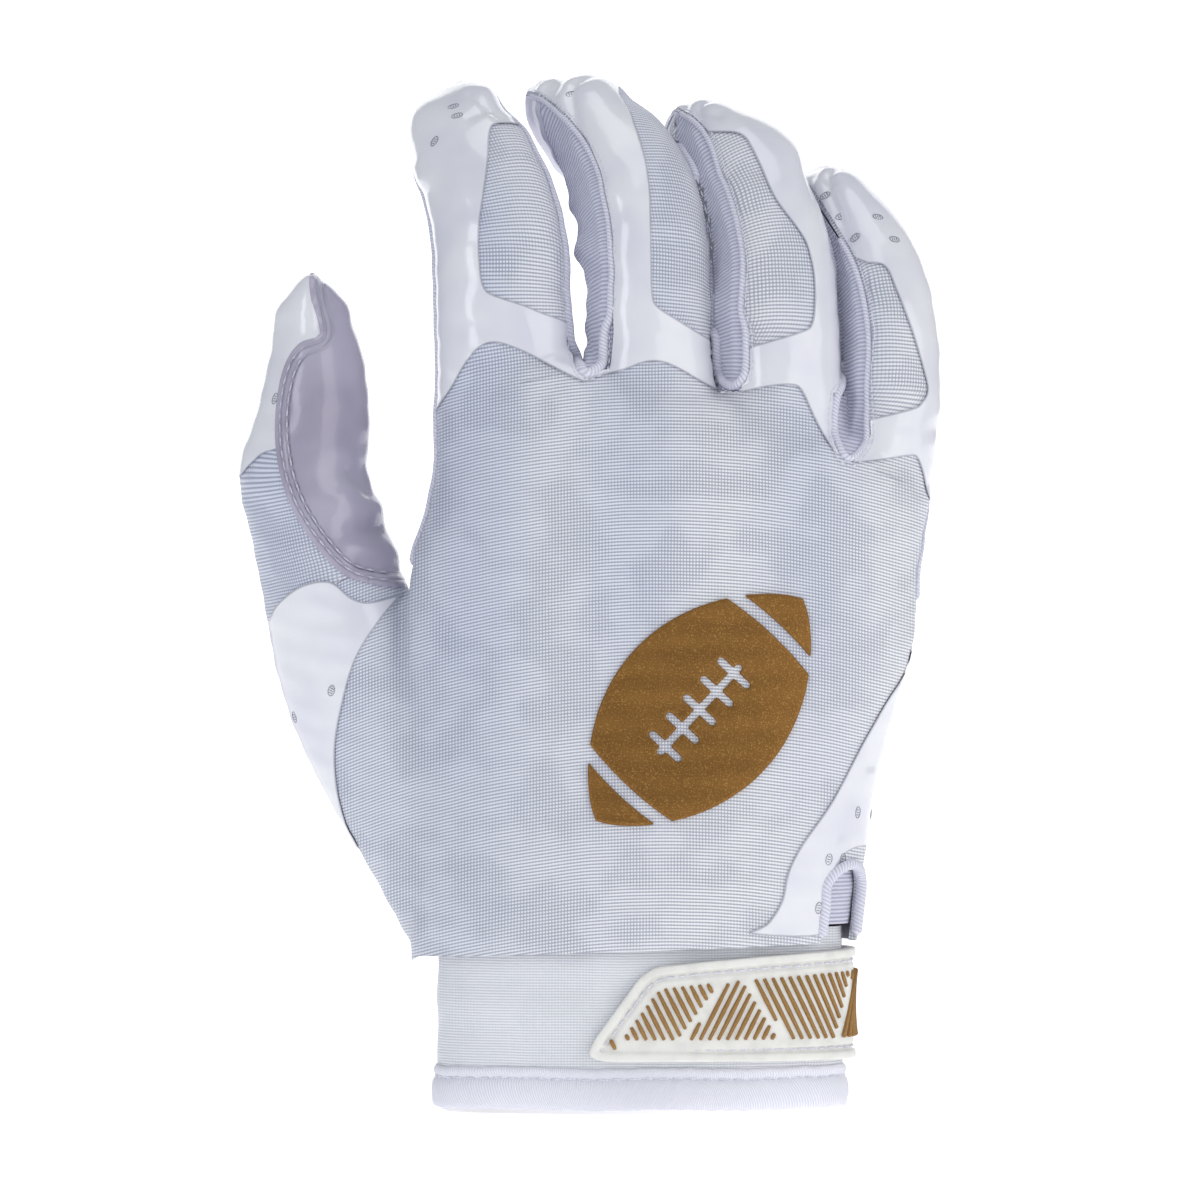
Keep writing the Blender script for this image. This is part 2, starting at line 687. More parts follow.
def turn_outward(mesh: bpy.types.Mesh) -> None:
    """Turns a closed mesh's faces outward."""
    bm = bmesh.new()
    bm.from_mesh(mesh)
    bmesh.ops.recalc_face_normals(bm, faces=bm.faces)
    bm.to_mesh(mesh)
    bm.free()


def set_uv(mesh: bpy.types.Mesh, name: str, values: np.ndarray) -> None:
    """Writes a UV map from one pair of numbers a vertex."""
    layer = mesh.uv_layers.new(name=name)
    owner = np.empty(len(mesh.loops), dtype=np.int32)
    mesh.loops.foreach_get("vertex_index", owner)
    layer.data.foreach_set("uv", values[owner].astype(np.float32).ravel())


def set_value(mesh: bpy.types.Mesh, name: str, values: np.ndarray) -> None:
    """Writes a number for each vertex under a name."""
    layer = mesh.attributes.new(name, "FLOAT", "POINT")
    layer.data.foreach_set("value", values.astype(np.float32))


def sharpen(mesh: bpy.types.Mesh, degrees: float) -> None:
    """Shades a mesh smoothly except over edges sharper than an angle."""
    bm = bmesh.new()
    bm.from_mesh(mesh)
    limit = math.radians(degrees)
    for face in bm.faces:
        face.smooth = True
    for edge in bm.edges:
        edge.smooth = edge.calc_face_angle(0.0) < limit
    bm.to_mesh(mesh)
    bm.free()


def pill(bm: bmesh.types.BMesh, centre: Vector, way: Vector, up: Vector, length: float,
         width: float, height: float, fine: int = 6) -> None:
    """Adds a rounded bar.

    Args:
        bm: The mesh to add to.
        centre: Its middle.
        way: Its direction.
        up: The direction that it stands out in.
        length: Its whole length.
        width: Its width.
        height: Its height.
        fine: How many sides it has.
    """
    levels = max(3, fine // 2 + 1)
    verts = bmesh.ops.create_uvsphere(bm, u_segments=fine, v_segments=levels, radius=0.5)["verts"]
    way = way.normalized()
    side = up.cross(way).normalized()
    up = way.cross(side)
    stretch = (length - width) / 2
    for vert in verts:
        x, y, z = vert.co
        push = 0.0 if abs(x) < 1e-6 else math.copysign(stretch, x)
        vert.co = centre + way * (x * width + push) + side * (y * width) + up * (z * height)


def stitch_row(bm: bmesh.types.BMesh, laid: Sequence[tuple[Vector, Vector]], length: float,
               width: float, height: float) -> None:
    """Adds a stitch at each inner place of a row of places and directions."""
    for (before, _), (place, up), (after, _) in zip(laid, laid[1:], laid[2:]):
        pill(bm, place, after - before, up, length, width, height)


@dataclass
class Weave:
    """Lays the courses and wales of the knit over the hand and along each digit."""

    start: float = 9.0
    blend: float = 12.0
    bow: float = 0.003
    bow_centre: float = 5.0
    claim: float = 1.45
    below: float = 2.0
    batch: int = 20000

    def hand(self, x: np.ndarray, z: np.ndarray) -> np.ndarray:
        """Returns the wale and course position on the hand."""
        return np.stack([x, z + self.bow * (x - self.bow_centre) ** 2], axis=-1)

    def _along_digit(self, places: np.ndarray, digit: Digit) -> tuple[np.ndarray, ...]:
        """Returns how far across and along a digit each place lies, and how far out."""
        sections = digit.sections
        centres = np.array([s.centre for s in sections])
        axes = {key: np.array([getattr(s, key) for s in sections]) for key in ("along", "dorsal", "across")}
        halves = np.array([(s.half_width, s.half_depth) for s in sections])
        arcs = arc_lengths(centres)
        nearest = np.empty(len(places), dtype=int)
        for start in range(0, len(places), self.batch):
            part = slice(start, start + self.batch)
            nearest[part] = ((places[part, None] - centres[None]) ** 2).sum(axis=2).argmin(axis=1)

        def parts(index: np.ndarray) -> list[np.ndarray]:
            """Returns each place's offset from a section, in the section's directions."""
            offset = places - centres[index]
            return [np.sum(offset * axes[key][index], axis=1) for key in ("across", "dorsal", "along")]

        u, v, t = parts(nearest)
        other = np.clip(nearest + np.where(t > 0, 1, -1), 0, len(sections) - 1)
        u2, _, t2 = parts(other)
        between = (other != nearest) & (t * t2 < 0)
        share = np.where(between, t / np.where(between, t - t2, 1.0), 0.0)
        along = np.where(between, arcs[nearest] + share * (arcs[other] - arcs[nearest]), arcs[nearest] + t)
        across = u + share * (u2 - u)
        radius = np.maximum(np.abs(u) / halves[nearest, 0], np.abs(v) / halves[nearest, 1])
        return across, along, radius

    def of(self, places: np.ndarray, ways: np.ndarray, digits: Sequence[str]) -> np.ndarray:
        """Returns the wale and course position of each place, in millimetres.

        Args:
            places: The places.
            ways: The directions of the cloth there.
            digits: The digits that the panel covers.

        Returns:
            One pair a place.
        """
        out = self.hand(places[:, 0], places[:, 2])
        best = np.full(len(places), self.claim)
        for name in digits:
            digit = DIGITS[name]
            across, along, _ = self._along_digit(places, digit)
            radius = self._along_digit(places - ways * self.below, digit)[2]
            mine = (radius < best) & (along > 0)
            best = np.where(mine, radius, best)
            weight = np.clip((along - self.start) / self.blend, 0, 1) * mine
            weight = (weight * weight * (3 - 2 * weight))[:, None]
            root = self.hand(*digit.sections[0].centre.xz)
            mapped = np.stack([root[0] + across, root[1] + along], axis=1)
            out = np.where(mine[:, None], out * (1 - weight) + mapped * weight, out)
        return out


WEAVE = Weave()


# Finishes

class Wire:
    """A node socket whose arithmetic adds Math nodes."""

    def __init__(self, maker: "Maker", socket: bpy.types.NodeSocket) -> None:
        """Holds a socket with the maker of its node tree."""
        self.maker = maker
        self.socket = socket

    def _math(self, operation: str, *values: "Wire | float") -> "Wire":
        """Returns the outcome of a Math node."""
        return self.maker.node("ShaderNodeMath", {"operation": operation}, dict(enumerate(values)))

    def __add__(self, other: "Wire | float") -> "Wire":
        """Adds."""
        return self._math("ADD", self, other)

    def __sub__(self, other: "Wire | float") -> "Wire":
        """Takes away."""
        return self._math("SUBTRACT", self, other)

    def __rsub__(self, other: float) -> "Wire":
        """Takes this away from a number."""
        return self._math("SUBTRACT", other, self)

    def __mul__(self, other: "Wire | float") -> "Wire":
        """Multiplies."""
        return self._math("MULTIPLY", self, other)

    __radd__ = __add__
    __rmul__ = __mul__

    def wave(self, pitch: float, phase: float = 0.0) -> "Wire":
        """Returns a smooth wave from 0 to 1 that repeats at a pitch."""
        return self._math("SINE", self * (2 * math.pi / pitch) + phase) * 0.5 + 0.5

    def size(self) -> "Wire":
        """Returns the value without its sign."""
        return self._math("ABSOLUTE", self)

    def step(self, low: float, high: float) -> "Wire":
        """Returns a smooth step from 0 at one value to 1 at another."""
        settings = {"interpolation_type": "SMOOTHSTEP"}
        values = {0: self, 1: low, 2: high, 3: 0.0, 4: 1.0}
        return self.maker.node("ShaderNodeMapRange", settings, values)


class Maker:
    """Makes the nodes of one material."""

    def __init__(self, name: str) -> None:
        """Starts a material with an empty node tree."""
        self.material = bpy.data.materials.new(name)
        self.material.use_nodes = True
        self.tree = self.material.node_tree
        self.tree.nodes.clear()

    def node(self, kind: str, settings: dict | None = None, values: dict | None = None,
             out: int | str = 0) -> Wire:
        """Adds a node.

        Args:
            kind: The node's type.
            settings: Its own settings, set first.
            values: Numbers, colours or wires for its sockets, by name or number.
            out: The socket that the wire comes from.

        Returns:
            The wire from the node.
        """
        node = self.tree.nodes.new(kind)
        for key, value in (settings or {}).items():
            setattr(node, key, value)
        for key, value in (values or {}).items():
            if isinstance(value, Wire):
                self.tree.links.new(value.socket, node.inputs[key])
            else:
                node.inputs[key].default_value = value
        return Wire(self, node.outputs[out])

    def place(self) -> Wire:
        """Returns the place on the object, in metres."""
        return self.node("ShaderNodeTexCoord", out="Object")

    def weave(self) -> tuple[Wire, Wire]:
        """Returns the wale and course position that the mesh keeps in its UV map."""
        uv = self.node("ShaderNodeUVMap", {"uv_map": "weave"}, out="UV")
        parts = self.node("ShaderNodeSeparateXYZ", values={0: uv})
        return parts, Wire(self, parts.socket.node.outputs[1])

    def value(self, name: str) -> Wire:
        """Returns a number kept for each vertex."""
        return self.node("ShaderNodeAttribute", {"attribute_name": name}, out="Fac")

    def noise(self, size: float, detail: float = 2.0) -> Wire:
        """Returns mottling of a size in millimetres."""
        values = {"Vector": self.place(), "Scale": 1 / (size * MM), "Detail": detail}
        return self.node("ShaderNodeTexNoise", values=values)

    def mix(self, share: Wire | float, low: object, high: object, mode: str = "MIX") -> Wire:
        """Returns one colour blended to another."""
        settings = {"data_type": "RGBA", "blend_type": mode}
        return self.node("ShaderNodeMix", settings, {0: share, 6: low, 7: high}, out=2)

    def bump(self, height: Wire, depth: float) -> Wire:
        """Returns the normal of a relief that is so many millimetres deep."""
        values = {"Height": height, "Distance": depth * MM, "Strength": 1.0}
        return self.node("ShaderNodeBump", values=values)

    def finish(self, values: dict) -> bpy.types.Material:
        """Joins the values to the surface shader and returns the material."""
        shader = self.node("ShaderNodeBsdfPrincipled", values=values)
        end = self.tree.nodes.new("ShaderNodeOutputMaterial")
        self.tree.links.new(shader.socket, end.inputs["Surface"])
        return self.material


Colour = tuple[float, float, float, float]


@dataclass(frozen=True)
class Knit:
    """Fine knit with courses across and wales along, and a satin sheen in soft bands."""

    name: str
    thread: Colour = (0.92, 0.92, 0.94, 1.0)
    hole: Colour = (0.33, 0.35, 0.43, 1.0)
    shade: Colour = (0.80, 0.83, 0.93, 1.0)
    course: float = 0.66
    wale: float = 0.62
    relief: float = 0.10
    open_share: float = 0.75
    banded: bool = True

    def build(self) -> bpy.types.Material:
        """Returns the material."""
        make = Maker(self.name)
        across, along = make.weave()
        drift = (make.noise(14.0, 1.0) - 0.5) * 0.5
        courses = (along + drift).wave(self.course)
        wales = (across + drift * 0.6).wave(self.wale)
        lattice = make.noise(11.0, 1.0).step(0.40, 0.60) * 0.35 + (self.open_share - 0.2)
        stitch = courses * (1 - lattice) + courses * wales * lattice
        fuzz = make.noise(0.45, 3.0)
        colour = make.mix(stitch.step(-0.05, 0.60), self.hole, self.thread)
        colour = make.mix(fuzz * 0.25, colour, self.thread)
        if self.banded:
            bands = (across + drift * 8.0).wave(34.0, 1.6) * along.step(40.0, 110.0)
            left = 1 - (across + drift * 20.0).step(-48.0, 16.0)
            colour = make.mix(bands * 0.6 + left * 0.55, colour, self.shade, "MULTIPLY")
        values = {
            "Base Color": colour,
            "Roughness": fuzz * 0.2 + 0.46,
            "Sheen Weight": 0.3,
            "Sheen Roughness": 0.45,
            "Normal": make.bump(stitch + fuzz * 0.25, self.relief),
        }
        return make.finish(values)


@dataclass(frozen=True)
class Ribs:
    """Stretch cloth with fine ribs across its length."""

    name: str
    high: Colour = (0.74, 0.74, 0.85, 1.0)
    low: Colour = (0.40, 0.41, 0.55, 1.0)
    pitch: float = 0.78
    relief: float = 0.16
    slant: float = 0.0

    def build(self) -> bpy.types.Material:
        """Returns the material."""
        make = Maker(self.name)
        across, along = make.weave()
        fuzz = make.noise(0.6, 3.0)
        ribs = (along + across * self.slant + fuzz * 0.15).wave(self.pitch)
        colour = make.mix(ribs.step(0.0, 0.8), self.low, self.high)
        colour = make.mix(fuzz * 0.2, colour, self.high)
        values = {
            "Base Color": colour,
            "Roughness": fuzz * 0.15 + 0.52,
            "Sheen Weight": 0.3,
            "Sheen Roughness": 0.4,
            "Normal": make.bump(ribs + fuzz * 0.2, self.relief),
        }
        return make.finish(values)


@dataclass(frozen=True)
class Gloss:
    """Glossy film or palm skin, with a soft ripple and fine pores."""

    name: str
    colour: Colour = (0.84, 0.84, 0.88, 1.0)
    tint: Colour = (0.75, 0.75, 0.83, 1.0)
    edge: Colour = (0.34, 0.35, 0.42, 1.0)
    roughness: float = 0.14
    coat: float = 0.6
    ripple: float = 0.30
    pores: float = 0.012
    rows: tuple[float, ...] = ()
    edged: bool = False

    def build(self) -> bpy.types.Material:
        """Returns the material."""
        make = Maker(self.name)
        cloud = make.noise(16.0, 2.0)
        grain = make.noise(0.7, 2.0)
        colour = make.mix(cloud.step(0.35, 0.7), self.colour, self.tint)
        height = cloud * self.ripple + grain * self.pores
        if self.edged:
            rim = 1 - make.value("edge").step(0.10, 0.42)
            colour = make.mix(rim * 0.75, colour, self.edge)
            height = height - rim * 0.12
        for row in self.rows:
            groove = 1 - (make.value("edge") - row).size().step(0.0, 0.55)
            colour = make.mix(groove * 0.35, colour, self.edge)
            height = height - groove * 0.28
        values = {
            "Base Color": colour,
            "Roughness": grain * 0.08 + self.roughness,
            "Coat Weight": self.coat,
            "Coat Roughness": 0.06,
            "Normal": make.bump(height, 1.0),
        }
        return make.finish(values)


@dataclass(frozen=True)
class Moulded:
    """Soft moulded rubber, a little mottled."""

    name: str
    colour: Colour = (0.86, 0.85, 0.80, 1.0)
    tint: Colour = (0.76, 0.75, 0.71, 1.0)
    roughness: float = 0.42

    def build(self) -> bpy.types.Material:
        """Returns the material."""
        make = Maker(self.name)
        cloud = make.noise(4.0, 3.0)
        grain = make.noise(0.35, 2.0)
        values = {
            "Base Color": make.mix(cloud.step(0.4, 0.75), self.colour, self.tint),
            "Roughness": grain * 0.12 + self.roughness,
            "Normal": make.bump(grain, 0.02),
        }
        return make.finish(values)


@dataclass(frozen=True)
class Gold:
    """Metallic gold print with fine flakes and the knit showing through."""

    name: str
    colour: Colour = (0.23, 0.108, 0.027, 1.0)
    glint: Colour = (0.66, 0.38, 0.11, 1.0)
    haze: Colour = (0.36, 0.18, 0.04, 1.0)
    metallic: float = 0.8
    roughness: float = 0.34
    pitch: float = 0.64

    def build(self) -> bpy.types.Material:
        """Returns the material."""
        make = Maker(self.name)
        flakes = make.noise(0.28, 1.0)
        cloud = make.noise(6.0, 2.0)
        across, along = make.weave()
        weave = along.wave(self.pitch) * across.wave(self.pitch)
        colour = make.mix(flakes.step(0.52, 0.72) * 0.5, self.colour, self.glint)
        colour = make.mix(cloud * 0.3, colour, self.haze)
        values = {
            "Base Color": colour,
            "Metallic": self.metallic,
            "Roughness": flakes * 0.25 + self.roughness,
            "Normal": make.bump(weave * 0.5 + flakes * 0.5, 0.04),
        }
        return make.finish(values)


@dataclass(frozen=True)
class Plain:
    """Thread, with a fine twist."""

    name: str
    colour: Colour = (0.84, 0.84, 0.90, 1.0)
    tint: Colour = (0.68, 0.68, 0.78, 1.0)

    def build(self) -> bpy.types.Material:
        """Returns the material."""
        make = Maker(self.name)
        twist = make.noise(0.4, 2.0)
        values = {
            "Base Color": make.mix(twist.step(0.4, 0.65), self.tint, self.colour),
            "Roughness": 0.6,
            "Normal": make.bump(twist, 0.03),
        }
        return make.finish(values)


THUMB_ROWS_OF_THREAD = (1.0, 2.4)


class Finish(Enum):
    """The finishes of the glove, each with the record's slot that it shows."""

    KNIT = (Knit("knit"), "knit")
    CUFF_KNIT = (Knit("cuff_knit", banded=False, relief=0.07, open_share=0.55, course=0.55,
                      thread=(0.88, 0.89, 0.92, 1.0), hole=(0.56, 0.58, 0.64, 1.0)), "knit")
    RIBS = (Ribs("rib_knit"), "rib_knit")
    GRIP = (Gloss("grip", (0.64, 0.63, 0.74, 1.0), (0.56, 0.55, 0.67, 1.0), roughness=0.34,
                  coat=0.15, ripple=0.2, pores=0.05), "grip")
    THUMB_GRIP = (Gloss("thumb_grip", (0.47, 0.44, 0.55, 1.0), (0.37, 0.34, 0.44, 1.0), roughness=0.2,
                        coat=0.5, ripple=0.35, pores=0.03, rows=THUMB_ROWS_OF_THREAD), "thumb_grip")
    FILM = (Gloss("film", edged=True), "film")
    BINDING = (Ribs("binding", (0.84, 0.84, 0.93, 1.0), (0.60, 0.60, 0.74, 1.0), 0.75, 0.12, 0.35),
               "binding")
    HEM = (Ribs("hem", (0.92, 0.92, 0.98, 1.0), (0.74, 0.74, 0.84, 1.0), 0.55, 0.08, 0.4), "hem")
    TAB = (Moulded("moulded_tab"), "moulded_tab")
    GOLD = (Gold("gold_print"), "gold_print")
    TAB_GOLD = (Gold("tab_gold", (0.33, 0.18, 0.055, 1.0), (0.55, 0.34, 0.12, 1.0), metallic=0.4),
                "gold_print")
    THREAD = (Plain("thread"), "binding")
    THUMB_THREAD = (Plain("thumb_thread", (0.66, 0.63, 0.73, 1.0), (0.50, 0.47, 0.58, 1.0)), "thumb_grip")
    MARK = (Plain("perforation", (0.30, 0.31, 0.38, 1.0), (0.20, 0.21, 0.27, 1.0)), "film")

    @cached_property
    def material(self) -> bpy.types.Material:
        """The material, built once."""
        return self.value[0].build()


def hand_in(obj: bpy.types.Object, name: str, finish: Finish, nodes: Sequence[str] = (),
            sharp: float = 38.0) -> None:
    """Finishes a piece: metres, finish, shading and its place in the frame.

    Args:
        obj: The piece, in millimetres.
        name: Its name.
        finish: Its finish.
        nodes: The solids that it stands for.
        sharp: The angle over which an edge stays sharp, in degrees.
    """
    mesh = obj.data
    mesh.transform(Matrix.Scale(MM, 4))
    sharpen(mesh, sharp)
    obj.name = mesh.name = name
    mesh.materials.clear()
    mesh.materials.append(finish.material)
    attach(obj, "root")
    if nodes:
        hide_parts(*nodes)
    LOG.info("%s: %d faces", name, len(mesh.polygons))


# The form of the glove

@dataclass(frozen=True)
class Fold:
    """A soft ridge, or a crease where the height is negative, between two photo pixels."""

    start: Point
    end: Point
    height: float
    width: float


FOLDS = (
    Fold((352, 470), (368, 492), -0.9, 1.6),
    Fold((345, 500), (372, 508), 0.9, 2.4),
    Fold((352, 530), (388, 528), -0.7, 1.8),
    Fold((350, 548), (396, 552), 0.8, 2.2),
    Fold((362, 566), (400, 570), -0.6, 1.6),
    Fold((322, 272), (322, 330), -0.9, 1.1),
    Fold((416, 168), (424, 178), 1.3, 1.9),
    Fold((470, 92), (500, 118), -0.5, 1.0),
    Fold((486, 84), (510, 112), 0.5, 1.0),
    Fold((488, 108), (470, 116), -0.4, 1.1),
    Fold((690, 104), (720, 112), -0.5, 1.1),
    Fold((540, 95), (560, 84), -0.4, 1.2),
    Fold((815, 172), (835, 178), -0.4, 1.1),
    Fold((410, 900), (436, 948), -0.6, 2.4),
    Fold((404, 930), (440, 925), 0.5, 2.6),
    Fold((560, 900), (600, 945), -0.35, 3.0),
    Fold((640, 905), (640, 945), 0.3, 3.4),
    Fold((590, 390), (585, 420), -0.5, 2.0),
    Fold((560, 385), (540, 400), -0.35, 1.8),
    Fold((735, 405), (738, 440), -0.5, 2.0),
    Fold((850, 475), (846, 500), -0.4, 1.8),
    Fold((893, 700), (870, 760), -0.5, 2.2),
    Fold((884, 680), (905, 640), 0.4, 2.6),
)


@dataclass
class GloveForm:
    """The outer form of the cloth and the hollow in it."""

    voxel: float = 0.7
    lining_voxel: float = 1.5
    passes: int = 6
    sides: int = 40
    hand_sides: int = 72
    groove: float = 0.5
    lip: float = 0.45
    palm_ridge: float = 0.8
    seam_reach: float = 5.0
    seam_pitch: float = 0.8
    ripple: float = 0.10

    def solid(self, grow: float, voxel: float, passes: int) -> bpy.types.Object:
        """Returns the hand and digits as one solid, grown by a distance."""
        bm = loft([section.ring(self.hand_sides, grow) for section in HAND])
        for digit in DIGITS.values():
            loft(digit.rings(self.sides, grow), bm=bm)
        obj = remesh(scratch(bm), voxel, 0)
        cut_through(obj, Cut.TAKE, shifted([photo(*pixel) for pixel in GAP], -grow))
        return remesh(obj, voxel, passes)

    @cached_property
    def outer(self) -> bpy.types.Object:
        """The cloth's outer face, with its seams and folds sculpted."""
        obj = self.solid(0.0, self.voxel, self.passes)
        self._sculpt(obj.data)
        return obj

    @cached_property
    def tree(self) -> BVHTree:
        """The outer face, for laying things on it."""
        bpy.context.view_layer.update()
        return BVHTree.FromObject(self.outer, bpy.context.evaluated_depsgraph_get())

    def _sculpt(self, mesh: bpy.types.Mesh) -> None:
        """Presses the seams in, rolls the strips' edges and raises the folds."""
        places, ways = coords(mesh), normals(mesh)
        push = self._seam_push(places)
        for fold in FOLDS:
            push += self._fold_push(places, ways, fold)
        ripple = np.sin(places[:, 2] * 0.55 + places[:, 0] * 0.21) * np.sin(places[:, 0] * 0.43 + 1.3)
        ripple += 0.6 * np.sin(places[:, 2] * 1.13 - places[:, 1] * 0.37 + 0.5)
        push += self.ripple * ripple
        move(mesh, places + ways * push[:, None])

    def _seam_push(self, places: np.ndarray) -> np.ndarray:
        """Returns how far each place moves for the finger seams."""
        points, downs, kinds = [], [], []
        for name in FINGERS:
            digit = DIGITS[name]
            for side in (-1, 1):
                if (name, side) in (("index", -1), ("pinky", 1)):
                    continue
                down = -digit.sections[len(digit.sections) // 2].dorsal
                for of_palm, seam in enumerate((digit.seam(side), digit.palm_seam(side))):
                    line = even(np.array(seam), self.seam_pitch)
                    points += list(line)
                    downs += [down] * len(line)
                    kinds += [of_palm] * len(line)
        tree = KDTree(len(points))
        for i, point in enumerate(points):
            tree.insert(point, i)
        tree.balance()
        out = np.zeros(len(places))
        for i, place in enumerate(places):
            nearest, index, gap = tree.find(place)
            if gap > self.seam_reach:
                continue
            if kinds[index]:
                wave = 0.6 + 0.4 * math.sin(place[2] * 0.9) * math.sin(place[2] * 0.37 + 1.0)
                out[i] = self.palm_ridge * wave * math.exp(-(gap / 1.1) ** 2)
            else:
                out[i] = -self.groove * math.exp(-(gap / 0.9) ** 2)
                if (Vector(place) - nearest).dot(downs[index]) > 0:
                    out[i] += self.lip * math.exp(-((gap - 2.3) / 1.1) ** 2)
        return out

    def _fold_push(self, places: np.ndarray, ways: np.ndarray, fold: Fold) -> np.ndarray:
        """Returns how far each place moves for one fold."""
        start, end = (np.array(photo(*point)) for point in (fold.start, fold.end))
        span = end - start
        flat = places[:, (0, 2)]
        share = np.clip((flat - start) @ span / (span @ span), 0, 1)
        gap = np.linalg.norm(flat - start - share[:, None] * span, axis=1)
        facing = np.clip(0.6 - ways[:, 1], 0, 1)
        return fold.height * np.exp(-(gap / fold.width) ** 2) * facing

    def grown(self, distance: float) -> bpy.types.Object:
        """Returns a copy of the outer face moved outwards."""
        obj = twin(self.outer)
        places, ways = coords(obj.data), normals(obj.data)
        move(obj.data, places + ways * distance)
        return obj

    @cached_property
    def shell(self) -> bpy.types.Object:
        """The cloth with its hollow, open at the wrist and the vent."""
        obj = twin(self.outer)
        combine(obj, Cut.TAKE, self.solid(-CLOTH, self.lining_voxel, 2))
        cut_through(obj, Cut.TAKE, placed(WRIST_LINE))
        combine(obj, Cut.TAKE, scratch(loft(Cuff().rings([(-40.0, 0.2), (Cuff.top + 0.2, 0.2)]))))
        combine(obj, Cut.TAKE, scratch(Vent().arch()))
        return obj

    @cached_property
    def skin(self) -> bpy.types.Object:
        """A thin film on the cloth."""
        return combine(self.grown(FILM), Cut.TAKE, self.grown(-0.12))

    def lay(self, point: Vector | np.ndarray, lift: float = 0.0) -> tuple[Vector, Vector]:
        """Returns a point moved to the nearest cloth, with the cloth's direction there."""
        place, way, _, _ = self.tree.find_nearest(Vector(point))
        return place + way * lift, way

    def front(self, x: float, z: float, lift: float = 0.0) -> tuple[Vector, Vector]:
        """Returns where a line from the front meets the cloth, and the cloth's direction."""
        place, way, _, _ = self.tree.ray_cast(Vector((x, FAR_FRONT, z)), INTO_BACK)
        if place is None:
            return self.lay((x, -20.0, z), lift)
        return place + way * lift, way


# Regions that the panels are cut from

LAP_BREADTH = 8.0
BEYOND = 25.0
# The web of the hand's back at a notch: half breadth, depth below and height above
WEB = (5.0, 8.0, 5.0)
# The side strips: sections left bare at the tip, sections over which they narrow, where they
# begin as a share of half a finger's width, and how far they stand out past it
STRIP_BARE, STRIP_CLOSE, STRIP_NEAR, STRIP_FAR = 4, 7, 0.25, 1.2
# The saddle that joins two strips: place across, height, and how far its front lies above and
# its back below the notch
SADDLE_ACROSS, SADDLE_HEIGHT, SADDLE_FRONT, SADDLE_BACK = 0.55, 0.035 * GLOVE_LENGTH, 1.5, 4.2


def finger_back(name: str, clearance: float, margin: float) -> bpy.types.Object:
    """Returns the region on the back side of a finger's seams."""
    return scratch(loft(DIGITS[name].back_rings(clearance, margin)))


def hand_back(clearance: float) -> bpy.types.Object:
    """Returns the region on the back side of the hand's side seams."""
    def level(z: float) -> list[Vector]:
        """Returns the slab's outline at a height."""
        return [Vector((x * HAND_BREADTH, y * HAND_DEPTH - clearance, z)) for x, y in SIDE_LINE]

    slab = scratch(loft([level(0.0), level(GLOVE_LENGTH)]))
    cut_through(slab, Cut.KEEP, shifted(placed(KNUCKLE_LINE), -clearance))
    half, below, above = WEB
    for x, y, z in notch_places():
        web = box_outline(x - half + clearance, x + half - clearance, z - below, z + above - clearance)
        combine(slab, Cut.JOIN, scratch(prism(web, y_to=y - clearance)))
    return slab


def notch_places() -> list[tuple[float, float, float]]:
    """Returns the bottoms of the notches between the fingers, in millimetres."""
    return [(x * HAND_BREADTH, y * HAND_DEPTH, z * GLOVE_LENGTH) for x, y, z in NOTCHES.values()]


def box_outline(left: float, right: float, low: float, high: float) -> list[Point]:
    """Returns a rectangle's outline in X and Z."""
    return [(left, low), (right, low), (right, high), (left, high)]


def cleft_region(key: str, spare: float) -> bpy.types.Object:
    """Returns the region in front, inside the U between two fingers."""
    outline = shifted([photo(*pixel) for pixel in CLEFTS[key]], spare)
    return scratch(prism(outline, y_to=CLEFT_DEPTH * HAND_DEPTH + spare))


def lap_region(name: str, spare: float) -> bpy.types.Object:
    """Returns the region where a finger's back laps over the side of its tip."""
    line = list(smooth([photo(*pixel) for pixel in LAPS[name]], 4))
    right = line[0][0] + LAP_BREADTH
    outline = line + [(line[-1][0], ABOVE_ALL), (right, ABOVE_ALL), (right, line[0][1])]
    depth = DIGITS[name].sections[-1].centre.y
    return scratch(prism(shifted(outline, spare), y_to=depth + spare))


def back_region(side: int) -> bpy.types.Object:
    """Returns the whole back region, a little small (1) or a little large (-1)."""
    region = hand_back(side * SEAM_GAP / 2)
    for name in FINGERS:
        combine(region, Cut.JOIN, finger_back(name, side * SEAM_GAP, 0.6 if side > 0 else 0.9))
        if name in LAPS:
            combine(region, Cut.JOIN, lap_region(name, -side * SEAM_GAP / 2))
    return region


